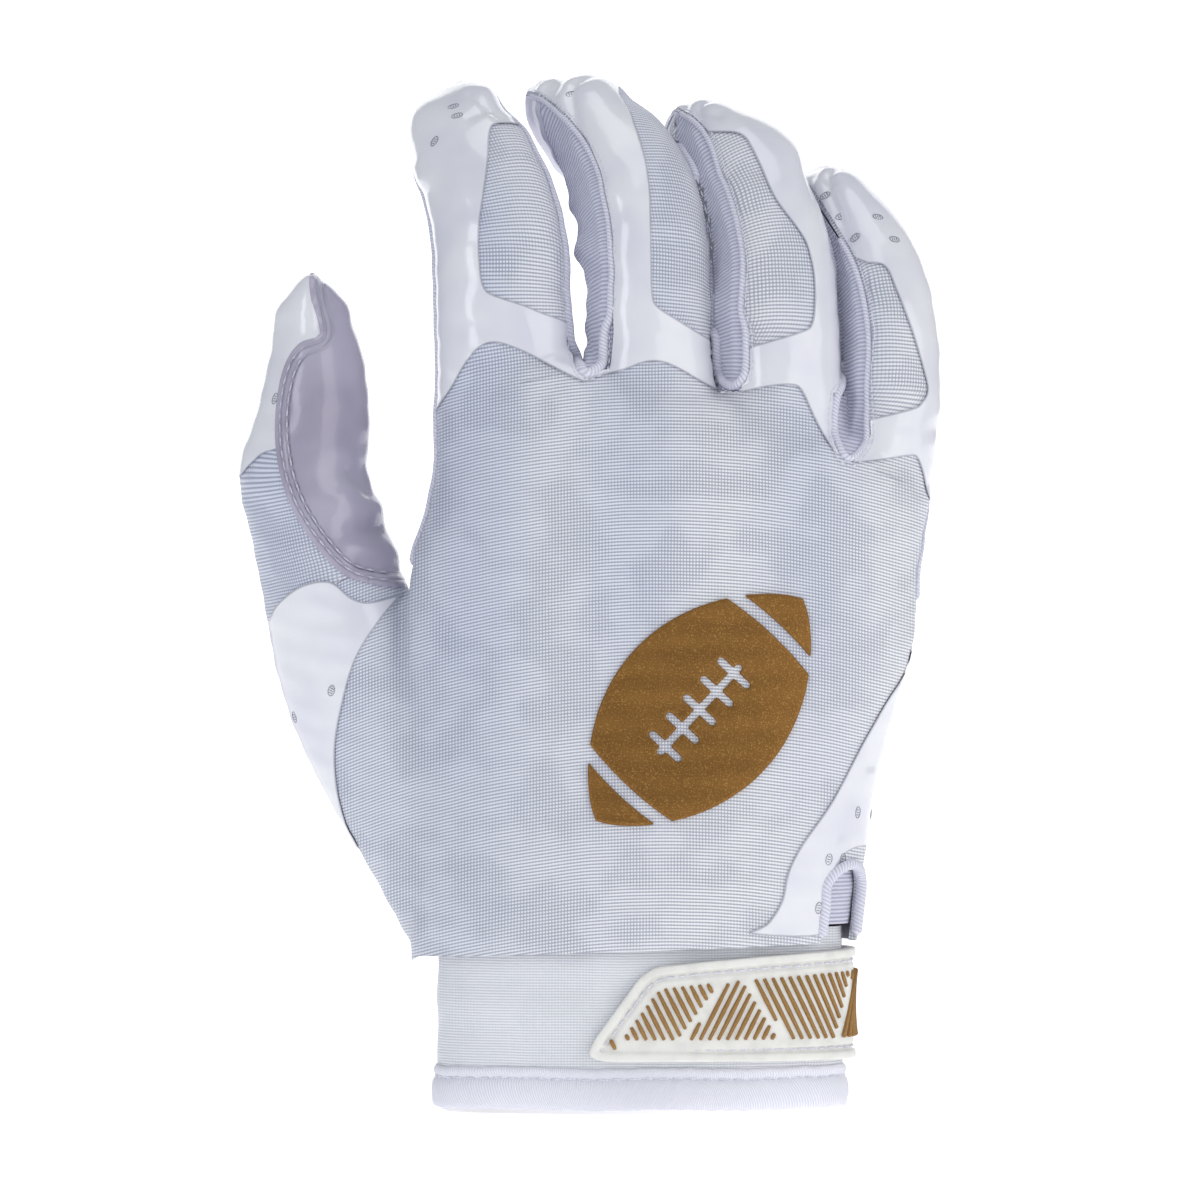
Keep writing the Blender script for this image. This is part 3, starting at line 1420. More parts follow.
def strip_region(left: str, right: str, clearance: float, spare: float) -> bpy.types.Object:
    """Returns the region of the side strip between two fingers, with its saddle.

    Args:
        left: The finger on the thumb's side.
        right: The finger on the other side.
        clearance: How far the strip stays below the back seam.
        spare: How far the region is grown on its other sides.

    Returns:
        The region as one solid.
    """
    feet = []
    solid = None
    bottom = NOTCHES[f"{left}_{right}"][2] * GLOVE_LENGTH
    for name, side in ((left, 1), (right, -1)):
        digit = DIGITS[name]
        share = digit.seams[side > 0]
        part = [section for section in digit.sections[:-STRIP_BARE] if section.centre.z > bottom - 1.0]
        rings = []
        for i, section in enumerate(part):
            close = max(0.0, (i - len(part) + 1 + STRIP_CLOSE) / STRIP_CLOSE)
            top = share * section.half_depth - clearance
            low = PALM_SEAMS.get(name, PALM_SEAM) * section.half_depth * (1 - 0.5 * close) - spare
            near = (STRIP_NEAR * section.half_width - spare) * side
            far = (section.half_width + STRIP_FAR + spare) * side
            shift = spare if i == len(part) - 1 else (-spare if i == 0 else 0.0)
            corners = ((near, low), (far, low), (far, top), (near, top))
            rings.append([section.at(u, v, shift) for u, v in corners])
        half = scratch(loft(rings))
        solid = combine(solid, Cut.JOIN, half) if solid else half
        feet.append((part[0], share, side))
    quads = []
    for foot, share, side in feet:
        across = (SADDLE_ACROSS * foot.half_width - spare) * side
        front = foot.at(across, share * foot.half_depth - clearance)
        back = foot.at(across, PALM_SEAM * foot.half_depth - spare)
        high = max(bottom, foot.centre.z) + SADDLE_HEIGHT + spare
        corners = ((front, bottom + SADDLE_FRONT - spare), (back, bottom - SADDLE_BACK - spare),
                   (back, high), (front, high))
        quads.append([Vector((p.x, p.y, z)) for p, z in corners])
    combine(solid, Cut.JOIN, scratch(loft(quads)))
    combine(solid, Cut.JOIN, cleft_region(f"{left}_{right}", -clearance))
    if right in LAPS:
        combine(solid, Cut.TAKE, lap_region(right, clearance))
    return solid


THUMB_RIGHT = ((-0.480, 0.545), (-0.480, 0.860))
THUMB_OUTLINE = THUMB_BASE[::-1] + THUMB_SEAM[-2:] + THUMB_RIGHT + ((-0.9, 0.86),)
THUMB_BACK_SEAM = 0.36 * HAND_DEPTH


def thumb_line() -> np.ndarray:
    """Returns the smooth front seam of the thumb."""
    return smooth(placed(THUMB_SEAM), 5)


def thumb_region(spare: float) -> bpy.types.Object:
    """Returns the region of the whole thumb."""
    return scratch(prism(shifted(placed(THUMB_OUTLINE), spare)))


def thumb_palm_region(spare: float) -> bpy.types.Object:
    """Returns the region of the thumb's gloss panel."""
    front = scratch(prism(shifted(list(thumb_line()) + placed(THUMB_RIGHT), spare)))
    behind = prism(shifted(placed(THUMB_OUTLINE), spare), THUMB_BACK_SEAM - spare)
    return combine(front, Cut.JOIN, scratch(behind))


@dataclass
class Panels:
    """The sewn panels of the glove: knit back, grip palm, ribbed strips and thumb."""

    form: GloveForm
    strip_clearance: float = 0.2
    lap_lift: float = 0.55
    lap_reach: float = 3.2
    far_from_edge: float = 20.0

    def build(self) -> None:
        """Cuts the cloth into its panels and hands each in."""
        body = twin(self.form.shell)
        for left, right in PAIRS:
            combine(body, Cut.TAKE, strip_region(left, right, -SEAM_GAP, SEAM_GAP))
        combine(body, Cut.TAKE, thumb_region(SEAM_GAP / 2))
        back = combine(twin(body), Cut.KEEP, back_region(1))
        self._dress(back, "hand_back_knit", Finish.KNIT, "hand_back")
        palm = combine(body, Cut.TAKE, back_region(-1))
        self._dress(palm, "palm_grip", Finish.GRIP, "palm_shell")
        for left, right in PAIRS:
            name = f"fourchette_{left}_{right}"
            region = strip_region(left, right, self.strip_clearance, -SEAM_GAP / 2)
            strip = combine(twin(self.form.shell), Cut.KEEP, region)
            self._dress(strip, name + "_ribbed", Finish.RIBS, name)
        thumb = combine(twin(self.form.shell), Cut.KEEP, thumb_region(-SEAM_GAP / 2))
        palm = combine(twin(thumb), Cut.KEEP, thumb_palm_region(-SEAM_GAP / 2))
        rest = combine(thumb, Cut.TAKE, thumb_palm_region(SEAM_GAP / 2))
        self._dress(rest, "thumb_back_knit", Finish.KNIT, "thumb_back")
        self._lap(palm)
        self._dress(palm, "thumb_palm_grip", Finish.THUMB_GRIP, "thumb_palm")
        drop(self.form.shell)

    def _lap(self, palm: bpy.types.Object) -> None:
        """Raises the gloss panel's edge over its neighbour and keeps the distance from it."""
        keep_largest(palm)
        places, ways = coords(palm.data), normals(palm.data)
        gap = distance_to(places[:, (0, 2)], [thumb_line()])
        front = np.clip(-ways[:, 1] + 0.4, 0, 1)
        lift = self.lap_lift * np.exp(-(gap / self.lap_reach) ** 2) * front
        move(palm.data, places + ways * lift[:, None])
        set_value(palm.data, "edge", np.where(places[:, 1] < THUMB_BACK_SEAM, gap, self.far_from_edge))

    def _dress(self, obj: bpy.types.Object, name: str, finish: Finish, node: str) -> None:
        """Maps the knit over a panel and hands it in."""
        keep_largest(obj)
        digits = ["thumb"] if node.startswith("thumb") else FINGERS
        set_uv(obj.data, "weave", WEAVE.of(coords(obj.data), normals(obj.data), digits))
        hand_in(obj, name, finish, [node])


@dataclass
class Films:
    """The gloss films bonded over the finger backs, the thumb and the heel."""

    form: GloveForm
    clearance: float = 0.9
    margin: float = 1.4
    spare: float = 0.4
    strip_spare: float = 0.6
    meeting: float = 0.08
    apron: float = 6.0
    apron_low: float = 9.0
    apron_high: float = 0.6
    divider_high: float = 4.0

    def build(self) -> None:
        """Cuts and hands in each film."""
        for name in FINGERS:
            hem = smooth(placed(HEMS[name]), 5)
            window = smooth(placed(WINDOWS[name]), 5, closed=True)
            film = combine(twin(self.form.skin), Cut.KEEP, self._region(name))
            cut_through(film, Cut.KEEP, self._above(hem))
            cut_through(film, Cut.TAKE, window)
            self._dress(film, f"film_{name}", f"overlay_{name}", [hem, np.vstack([window, window[:1]])])
        hem = smooth(placed(HEMS["thumb"]), 5)
        film = combine(twin(self.form.skin), Cut.KEEP, thumb_region(-SEAM_GAP))
        cut_through(film, Cut.KEEP, self._above(hem))
        combine(film, Cut.TAKE, thumb_palm_region(SEAM_GAP))
        self._dress(film, "film_thumb", "overlay_thumb", [hem])
        for name, outline in (("thumb_base", THUMB_PATCH), ("heel", HEEL_PATCH)):
            line = smooth(placed(outline), 5, closed=True)
            film = cut_through(twin(self.form.skin), Cut.KEEP, line)
            combine(film, Cut.KEEP, hand_back(0.2))
            self._dress(film, f"film_{name}", f"overlay_{name}", [np.vstack([line, line[:1]])])
        drop(self.form.skin)

    def _region(self, name: str) -> bpy.types.Object:
        """Returns the region of a finger's film, which meets its neighbours' below the notches."""
        region = finger_back(name, self.clearance, self.margin)
        if name in LAPS:
            combine(region, Cut.JOIN, lap_region(name, -self.clearance))
        for pair, (x, y, z) in zip(PAIRS, notch_places()):
            if name not in pair:
                continue
            side, other = (-1, pair[1]) if name == pair[0] else (1, pair[0])
            edge = x + side * self.meeting
            near, far = edge + side * self.apron, edge - side * BEYOND
            apron = box_outline(min(edge, near), max(edge, near), z - self.apron_low, z + self.apron_high)
            combine(region, Cut.JOIN, scratch(prism(apron, y_to=y - self.spare)))
            combine(region, Cut.TAKE, strip_region(*pair, -self.strip_spare, self.strip_spare))
            combine(region, Cut.TAKE, finger_back(other, 0.0, self.spare))
            beyond = box_outline(min(edge, far), max(edge, far), -self.apron_low, z + self.divider_high)
            cut_through(region, Cut.TAKE, beyond)
            combine(region, Cut.TAKE, cleft_region("_".join(pair), self.spare))
        return region

    @staticmethod
    def _above(hem: np.ndarray) -> list[Point]:
        """Returns the outline of all that lies above a hem."""
        (left, low), (right, high) = hem[0], hem[-1]
        left, right = left - BEYOND, right + BEYOND
        return [(left, low), *hem, (right, high), (right, ABOVE_ALL), (left, ABOVE_ALL)]

    def _dress(self, film: bpy.types.Object, name: str, node: str, lines: list[np.ndarray]) -> None:
        """Keeps the distance from the film's edge and hands it in."""
        keep_largest(film)
        set_value(film.data, "edge", distance_to(coords(film.data)[:, (0, 2)], lines))
        hand_in(film, name, Finish.FILM, [node], 50.0)


@dataclass
class Cord:
    """A round cord laid along a path on the cloth."""

    path: np.ndarray
    radius: Callable[[float], float]
    sides: int = 12
    pitch: float = 0.9
    eases: int = 3
    end_share: float = 0.25

    def mesh(self, form: GloveForm, lift: float) -> bpy.types.Object:
        """Returns the cord as a tube, with its length and turn kept as a UV map.

        Args:
            form: The form that it lies on.
            lift: How far its middle stands off the cloth.

        Returns:
            The tube, closed at both ends.
        """
        places = np.array([form.lay(point, lift)[0] for point in even(self.path, self.pitch)])
        for _ in range(self.eases):
            places[1:-1] = (places[:-2] + 2 * places[1:-1] + places[2:]) / 4
        count = len(places)
        ways = np.gradient(places, axis=0)
        arcs = arc_lengths(places)
        rings, uv = [], []
        for i in range(count):
            along = Vector(ways[i]).normalized()
            up = form.lay(places[i])[1]
            up = (up - along * up.dot(along)).normalized()
            side = along.cross(up)
            size = self.radius(i / (count - 1)) * (self.end_share if i in (0, count - 1) else 1.0)
            ring = []
            for k in range(self.sides):
                turn = 2 * math.pi * k / self.sides - math.pi
                ring.append(Vector(places[i]) + (up * math.cos(turn) + side * math.sin(turn)) * size)
                uv.append((turn * size, arcs[i]))
            rings.append(ring)
        obj = scratch(loft(rings))
        set_uv(obj.data, "weave", np.array(uv))
        return obj


@dataclass
class Pipings:
    """The corded seams along the fingers and the stitches beside them."""

    form: GloveForm
    stitch_pitch: float = 1.55
    stitch_length: float = 1.15
    outer: tuple[tuple[str, int, Point], ...] = (
        ("index", -1, (0.505, 0.60)), ("pinky", 1, (0.47, 0.56)),
    )
    stray: float = 1.5
    clear: float = 1.5
    thin: float = 0.55
    outer_radius: float = 0.72
    heaviest: tuple[float, float] = (0.44, 0.20)
    beside: tuple[float, float] = (1.25, 1.5)

    def _bridge(self, left: str, right: str, lift: float = 0.0) -> np.ndarray:
        """Returns the path down one finger, round the U and up the next."""
        outline = shifted([photo(*pixel) for pixel in CLEFTS[f"{left}_{right}"]], lift)
        hits = [(self.form.front(x, z)[0], x, z) for x, z in outline[:1] + outline[:0:-1]]
        bottom = [place for place, x, z in hits if math.hypot(place.x - x, place.z - z) < self.stray]
        down = reversed(DIGITS[left].seam(1, lift))
        down = [point for point in down if point.z > bottom[0].z + self.clear]
        up = DIGITS[right].seam(-1, lift)
        if right in LAPS:
            up = self._lapped(right, up, lift)
        up = [point for point in up if point.z > bottom[-1].z + self.clear]
        return smooth([tuple(p) for p in down + bottom + up], 2)

    def _lapped(self, name: str, seam: list[Vector], lift: float) -> list[Vector]:
        """Returns a seam that leaves the finger's side to run over its tip."""
        line = aside(smooth([photo(*pixel) for pixel in LAPS[name][:-1]], 4), lift)
        out = [point for point in seam if point.z < line[0][1] - self.clear]
        for x, z in line:
            place = self.form.tree.ray_cast(Vector((x, FAR_FRONT, z)), INTO_BACK)[0]
            if place is None:
                break
            out.append(place)
        return out

    def _outer(self, name: str, side: int, span: Point, lift: float = 0.0) -> np.ndarray:
        """Returns the path up the hand's side and the outer side of a finger."""
        hand = [s for s in HAND[::2] if span[0] < s.centre.z / GLOVE_LENGTH < span[1]]
        points = [section.at(side * section.half_width, lift) for section in hand]
        points.append(DIGITS[name].sections[0].at(side * DIGITS[name].sections[0].half_width, lift))
        return smooth([tuple(p) for p in points + DIGITS[name].seam(side, lift)], 2)

    def build(self) -> None:
        """Hands in each piping and the rows of stitches."""
        for left, right in PAIRS:
            heavy = 0.85 if left == "index" else 0.55

            def radius(share: float, heavy: float = heavy) -> float:
                """Returns the cord's radius, which is largest round the U."""
                middle, spread = self.heaviest
                return self.thin + heavy * math.exp(-((share - middle) / spread) ** 2)

            cord = Cord(self._bridge(left, right), radius).mesh(self.form, 0.25)
            hand_in(cord, f"piping_{left}_{right}_cord", Finish.BINDING, [f"piping_{left}_{right}"], 60.0)
        for name, side, span in self.outer:
            cord = Cord(self._outer(name, side, span), lambda share: self.outer_radius).mesh(self.form, 0.15)
            hand_in(cord, f"piping_{name}_outer_cord", Finish.BINDING, [f"piping_{name}_outer"], 60.0)
        bm = bmesh.new()
        for left, right in PAIRS:
            self.stitch(bm, self._bridge(left, right, self.beside[0]))
        for name, side, span in self.outer:
            self.stitch(bm, self._outer(name, side, span, self.beside[1]))
        hand_in(scratch(bm), "seam_stitches", Finish.THREAD, sharp=80.0)

    def stitch(self, bm: bmesh.types.BMesh, path: np.ndarray, lift: float = FILM) -> None:
        """Adds a row of stitches along a path on the cloth."""
        laid = [self.form.lay(point, lift) for point in even(path, self.stitch_pitch)]
        stitch_row(bm, laid, self.stitch_length, 0.34, 0.30)


@dataclass
class ThumbStitches:
    """The two rows of stitches along the thumb's gloss panel."""

    form: GloveForm
    rows: tuple[float, float] = THUMB_ROWS_OF_THREAD
    pitch: float = 2.5
    length: float = 2.0
    lift: float = 0.55
    first: int = 20

    def build(self) -> None:
        """Hands in the stitches."""
        bm = bmesh.new()
        line = thumb_line()[self.first:]
        for row in self.rows:
            points = even(aside(line, -row)[:-2], self.pitch)
            stitch_row(bm, [self.form.front(x, z, self.lift) for x, z in points], self.length, 0.45, 0.34)
        hand_in(scratch(bm), "thumb_stitches", Finish.THUMB_THREAD, sharp=80.0)


@dataclass
class Vent:
    """The vent in the wrist beside the little finger's heel, and its bound edge."""

    width: float = 11.0
    height: float = 15.0
    bearing: float = -13.0
    foot: float = 0.163 * GLOVE_LENGTH
    cord_radius: float = 1.15
    lining: tuple[float, float] = (-CLOTH - 0.4, -CLOTH - 1.0)

    @property
    def turn(self) -> Matrix:
        """The turn from the front to the vent's direction."""
        return Matrix.Rotation(math.pi / 2 + math.radians(self.bearing), 4, "Z")

    def arch(self, spare: float = 0.0, low: float = -15.0) -> bmesh.types.BMesh:
        """Returns the solid that the vent is cut with, grown by a distance."""
        half = self.width / 2 + spare
        points = [(-half, low), (half, low)]
        for angle in np.linspace(0, math.pi, 13):
            points.append((half * math.cos(angle), self.height + spare - half + half * math.sin(angle)))
        bm = prism(points, -HAND_BREADTH, 0.0)
        bmesh.ops.transform(bm, matrix=Matrix.Translation((0, 0, self.foot)) @ self.turn, verts=bm.verts)
        return bm

    def build(self, form: GloveForm) -> None:
        """Hands in the bound edge and the lining that shows through the vent."""
        half, rise = self.width / 2, self.height - self.width / 2
        route = [(-half, 0.5), (-half, rise / 2)]
        route += [(-half * math.cos(a), rise + half * math.sin(a)) for a in np.linspace(0, math.pi, 9)]
        route += [(half, rise / 2), (half, 0.5)]
        way = self.turn @ Vector((0, -1, 0))
        points = []
        for across, z in smooth(route, 3):
            start = self.turn @ Vector((across, 0, 0)) + way * HAND_BREADTH
            start.z = self.foot + z
            place = form.tree.ray_cast(start, -way)[0]
            if place is not None:
                points.append(tuple(place))
        cord = Cord(np.array(points), lambda share: self.cord_radius).mesh(form, 0.1)
        hand_in(cord, "vent_binding_cord", Finish.BINDING, ["vent_binding"], 60.0)
        lining = combine(form.grown(self.lining[0]), Cut.TAKE, form.grown(self.lining[1]))
        combine(lining, Cut.KEEP, scratch(self.arch(2.5, 3.0)))
        keep_largest(lining)
        set_uv(lining.data, "weave", coords(lining.data)[:, (1, 2)])
        hand_in(lining, "vent_lining", Finish.RIBS)


@dataclass
class Cuff:
    """The wrist sleeve and its folded hem."""

    breadth: float = 81.0
    depth: float = 37.0
    wall: float = 1.6
    sides: int = 160
    top: float = 0.163 * GLOVE_LENGTH + 2.6
    hem_height: float = 8.4
    stitch_height: float = 6.2
    stitch_pitch: float = 3.0

    def section(self, z: float = 0.0) -> Section:
        """Returns the sleeve's section at a height."""
        return Section(Vector((0, 0, z)), Vector((0, 0, 1)), Vector((0, -1, 0)), Vector((1, 0, 0)),
                       self.breadth / 2, self.depth / 2)

    def rings(self, levels: Sequence[tuple[float, float]]) -> list[list[Vector]]:
        """Returns rings at heights, each grown by its own distance."""
        return [self.section(z).ring(self.sides, grow) for z, grow in levels]

    def build(self) -> None:
        """Hands in the sleeve, the hem and the hem's stitches."""
        low, high = self.hem_height - 0.8, self.top
        levels = [(z, 0.0) for z in np.linspace(low, high, 40)]
        inside = [(z, -self.wall) for z in np.linspace(high, low, 12)]
        band = scratch(loft(self.rings(levels + inside), closed=True))
        places, ways = coords(band.data), normals(band.data)
        x, z = places[:, 0], places[:, 2]
        rise = np.clip((z - low) / (high - low), 0, 1)
        gather = np.sin(x * 0.34 + 0.8) * np.sin(x * 0.13) * 0.28 * rise
        gather += 0.18 * np.sin(z * 0.5 + x * 0.08) * np.sin(rise * math.pi)
        move(band.data, places + ways * gather[:, None])
        set_uv(band.data, "weave", coords(band.data)[:, (0, 2)])
        hand_in(band, "cuff_sleeve", Finish.CUFF_KNIT, ["cuff_band"], 60.0)
        self._hem()

    @staticmethod
    def _hem_wave(x: np.ndarray | float) -> np.ndarray | float:
        """Returns how far the hem rises at a place across."""
        return (0.22 * np.sin(x * 0.21 + 0.4) + 0.10 * np.sin(x * 0.83)) * 0.6

    def _hem(self) -> None:
        """Hands in the rolled hem and its stitches."""
        h = self.hem_height
        outside = [(0.0, -0.5), (0.05, 0.35), (0.5, 0.85), (1.4, 1.1), (2.8, 1.2), (4.2, 1.1), (5.2, 0.9),
                   (5.8, 0.55), (6.15, 0.2), (6.5, 0.45), (7.0, 0.75), (7.6, 0.8), (8.1, 0.6), (h, 0.25)]
        inside = [(h, -self.wall), (4.0, -self.wall - 0.1), (0.6, -self.wall), (0.0, -self.wall + 0.5)]
        hem = scratch(loft(self.rings(outside + inside), closed=True))
        places, ways = coords(hem.data), normals(hem.data)
        x = places[:, 0]
        places[:, 2] += self._hem_wave(x)
        move(hem.data, places + ways * (0.08 * np.sin(x * 1.9 + places[:, 2]))[:, None])
        turn = np.arctan2(places[:, 1], x) * self.breadth / 2
        set_uv(hem.data, "weave", np.stack([places[:, 2], np.where(np.abs(x) > 0, turn, 0.0)], axis=1))
        hand_in(hem, "cuff_hem_roll", Finish.HEM, ["cuff_hem"], 60.0)
        bm = bmesh.new()
        ring = np.array(self.section(self.stitch_height).ring(720, 0.35))
        line = even(np.vstack([ring, ring[:1]]), self.stitch_pitch)[:-1]
        for i, place in enumerate(line):
            way = Vector(line[(i + 1) % len(line)]) - Vector(line[i - 1])
            up = way.cross(Vector((0, 0, 1))).normalized()
            lifted = Vector(place)
            lifted.z += self._hem_wave(place[0])
            pill(bm, lifted, way, up, 2.2, 0.5, 0.42)
        hand_in(scratch(bm), "hem_stitches", Finish.THREAD, sharp=80.0)


@dataclass
class ClosureTab:
    """The moulded tab that lies round the sleeve to the palm, with raised gold ribs."""

    cuff: Cuff = field(default_factory=Cuff)
    seat: float = 0.3
    thickness: float = 1.9
    relief: float = 0.6
    rim: float = 1.7
    groove: float = 3.1
    wrap: float = 26.0
    voxel: float = 0.3
    stitch_pitch: float = 2.3
    outline: tuple[Point, ...] = (
        (-0.107, 0.053), (-0.095, 0.067), (-0.045, 0.100), (0.000, 0.129), (0.029, 0.138),
        (0.124, 0.143), (0.247, 0.148), (0.371, 0.152),
    )
    low: float = 0.047 * GLOVE_LENGTH
    high: float = 0.154 * GLOVE_LENGTH
    rib_pitch: float = 1.75
    rib_width: float = 0.95
    lean: float = 0.5
    bar: float = 1.9
    bars: tuple[Point, ...] = ((-9.0, 3.0), (13.0, 25.0), (37.0, 27.0), (46.0, 52.0), (80.0, 80.0))

    @cached_property
    def track(self) -> tuple[np.ndarray, np.ndarray]:
        """The way round the sleeve from its front middle: places and lengths."""
        sides = 1440
        ring = np.array(self.cuff.section().ring(sides, self.seat))
        places = ring[(sides // 4 - np.arange(sides)) % sides]
        return places, arc_lengths(places)

    def reach(self, x: float) -> float:
        """Returns the length round the sleeve at which the front lies at x."""
        places, lengths = self.track
        quarter = int(np.argmax(places[:, 0])) + 1
        return math.copysign(float(np.interp(abs(x), places[:quarter, 0], lengths[:quarter])), x)

    def wrapped(self, flat: np.ndarray) -> np.ndarray:
        """Returns places given as length, height out and z, laid round the sleeve."""
        places, lengths = self.track
        whole = lengths[-1] + np.linalg.norm(places[-1] - places[0])
        s = np.mod(flat[:, 0], whole)
        x, y = np.interp(s, lengths, places[:, 0]), np.interp(s, lengths, places[:, 1])
        ahead, behind = np.mod(s + 0.5, whole), np.mod(s - 0.5, whole)
        tx = np.interp(ahead, lengths, places[:, 0]) - np.interp(behind, lengths, places[:, 0])
        ty = np.interp(ahead, lengths, places[:, 1]) - np.interp(behind, lengths, places[:, 1])
        size = np.hypot(tx, ty)
        return np.stack([x + ty / size * flat[:, 1], y - tx / size * flat[:, 1], flat[:, 2]], axis=1)

    def flat_outline(self) -> list[Point]:
        """Returns the outline in length and z, with rounded corners at the palm end."""
        points = [(self.reach(x * HAND_BREADTH), z * GLOVE_LENGTH) for x, z in self.outline]
        quarter = self.reach(self.cuff.breadth / 2 + self.seat)
        end = quarter * 2 - self.reach(self.cuff.breadth / 2 - self.wrap)
        points += [(quarter, self.high), (end - 9.0, self.high), (end - 3.0, self.high - 1.6),
                   (end, self.high - 7.0), (end, self.low + 6.0), (end - 3.0, self.low + 1.2),
                   (end - 9.0, self.low), (quarter, self.low), (points[0][0] + 6.0, self.low),
                   (points[0][0] + 2.6, self.low + 0.1)]
        return points

    def _line(self) -> np.ndarray:
        """Returns the flat outline with eased corners."""
        line = even(np.array(self.flat_outline() + self.flat_outline()[:1]), 0.8)[:-1]
        for _ in range(2):
            line = (np.roll(line, 1, axis=0) + 2 * line + np.roll(line, -1, axis=0)) / 4
        return line

    def build(self) -> None:
        """Hands in the tab, its ribs and its stitches."""
        outline = self._line()
        rise = self.thickness + self.relief
        tab = scratch(prism(outline, 0.0, rise - 0.15))
        field_line = shifted(outline, -self.rim)
        combine(tab, Cut.TAKE, scratch(prism(field_line, self.thickness - 0.45, rise + 1)))
        combine(tab, Cut.JOIN, scratch(prism(shifted(outline, -self.groove), 0.5, self.thickness)))
        remesh(tab, self.voxel, 3)
        move(tab.data, self.wrapped(coords(tab.data)))
        turn_outward(tab.data)
        hand_in(tab, "closure_tab_moulding", Finish.TAB, ["closure_tab"], 60.0)
        self._ribs()
        bm = bmesh.new()
        path = even(np.array(shifted(outline, -(self.rim + self.groove) / 2)), self.stitch_pitch)
        self._pills(bm, [(a, b) for a, b in zip(path, path[1:])], self.thickness - 0.25, 0.42, 0.5, 0.78)
        hand_in(scratch(bm), "tab_stitches", Finish.THREAD, sharp=80.0)

    def _pills(self, bm: bmesh.types.BMesh, spans: Iterable[tuple], lift: float, width: float,
               height: float, share: float = 1.0) -> None:
        """Adds rounded bars laid round the sleeve between pairs of flat points."""
        for start, end in spans:
            start, end = np.array(start), np.array(end)
            middle, half = (start + end) / 2, (end - start) / 2 * share
            ends = np.array([(*(middle - half), 0), (*(middle + half), 0), (*middle, 0)])[:, (0, 2, 1)]
            ends[:, 1] = lift
            first, last, centre = self.wrapped(ends)
            raised = ends[2:].copy()
            raised[:, 1] += 1
            up = Vector(self.wrapped(raised)[0] - centre)
            pill(bm, Vector(centre), Vector(last - first), up,
                 float(np.linalg.norm(last - first)) + width * 0.2, width, height, 8)

    def _clipped(self, start: np.ndarray, end: np.ndarray, outline: np.ndarray) -> list[tuple]:
        """Returns the spans of a line that lie inside an outline."""
        marks = [0.0, 1.0]
        way = end - start
        for a, b in zip(outline, np.roll(outline, -1, axis=0)):
            edge = b - a
            cross = way[0] * edge[1] - way[1] * edge[0]
            if abs(cross) > 1e-9:
                t = ((a[0] - start[0]) * edge[1] - (a[1] - start[1]) * edge[0]) / cross
                s = ((a[0] - start[0]) * way[1] - (a[1] - start[1]) * way[0]) / cross
                if 0 < t < 1 and 0 <= s < 1:
                    marks.append(t)
        marks.sort()
        out = []
        for low, high in zip(marks, marks[1:]):
            x, y = start + way * (low + high) / 2
            inside = False
            for a, b in zip(outline, np.roll(outline, -1, axis=0)):
                if (a[1] > y) != (b[1] > y) and x < a[0] + (b[0] - a[0]) * (y - a[1]) / (b[1] - a[1]):
                    inside = not inside
            if inside and (high - low) * np.linalg.norm(way) > self.rib_width:
                out.append((start + way * low, start + way * high))
        return out

    def _ribs(self) -> None:
        """Hands in the gold ribs: slanting fields that lean to and fro between bare bars."""
        inner = np.array(shifted(self._line(), -self.groove - 1.3))
        left, foot, roof = inner[:, 0].min(), inner[:, 1].min(), inner[:, 1].max()
        tall = roof - foot
        spans = []
        for k, ((low, high), (low_end, high_end)) in enumerate(zip(self.bars, self.bars[1:])):
            lean = self.lean if k % 2 else -self.lean
            cell = left + np.array((low + self.bar / 2, low_end - self.bar / 2,
                                    high_end - self.bar / 2, high + self.bar / 2))
            cell = np.stack([cell, (foot, foot, roof, roof)], axis=1)
            for s in np.arange(cell[:, 0].min() - tall, cell[:, 0].max() + tall, self.rib_pitch):
                start = np.array((s, foot - 1.0))
                for part in self._clipped(start, start + np.array((lean * (tall + 2), tall + 2)), cell):
                    spans += self._clipped(*part, inner)
        bm = bmesh.new()
        self._pills(bm, spans, self.thickness + 0.05, self.rib_width, 1.0)
        obj = scratch(bm)
        set_uv(obj.data, "weave", coords(obj.data)[:, (0, 2)])
        hand_in(obj, "tab_gold_ribs", Finish.TAB_GOLD, sharp=60.0)


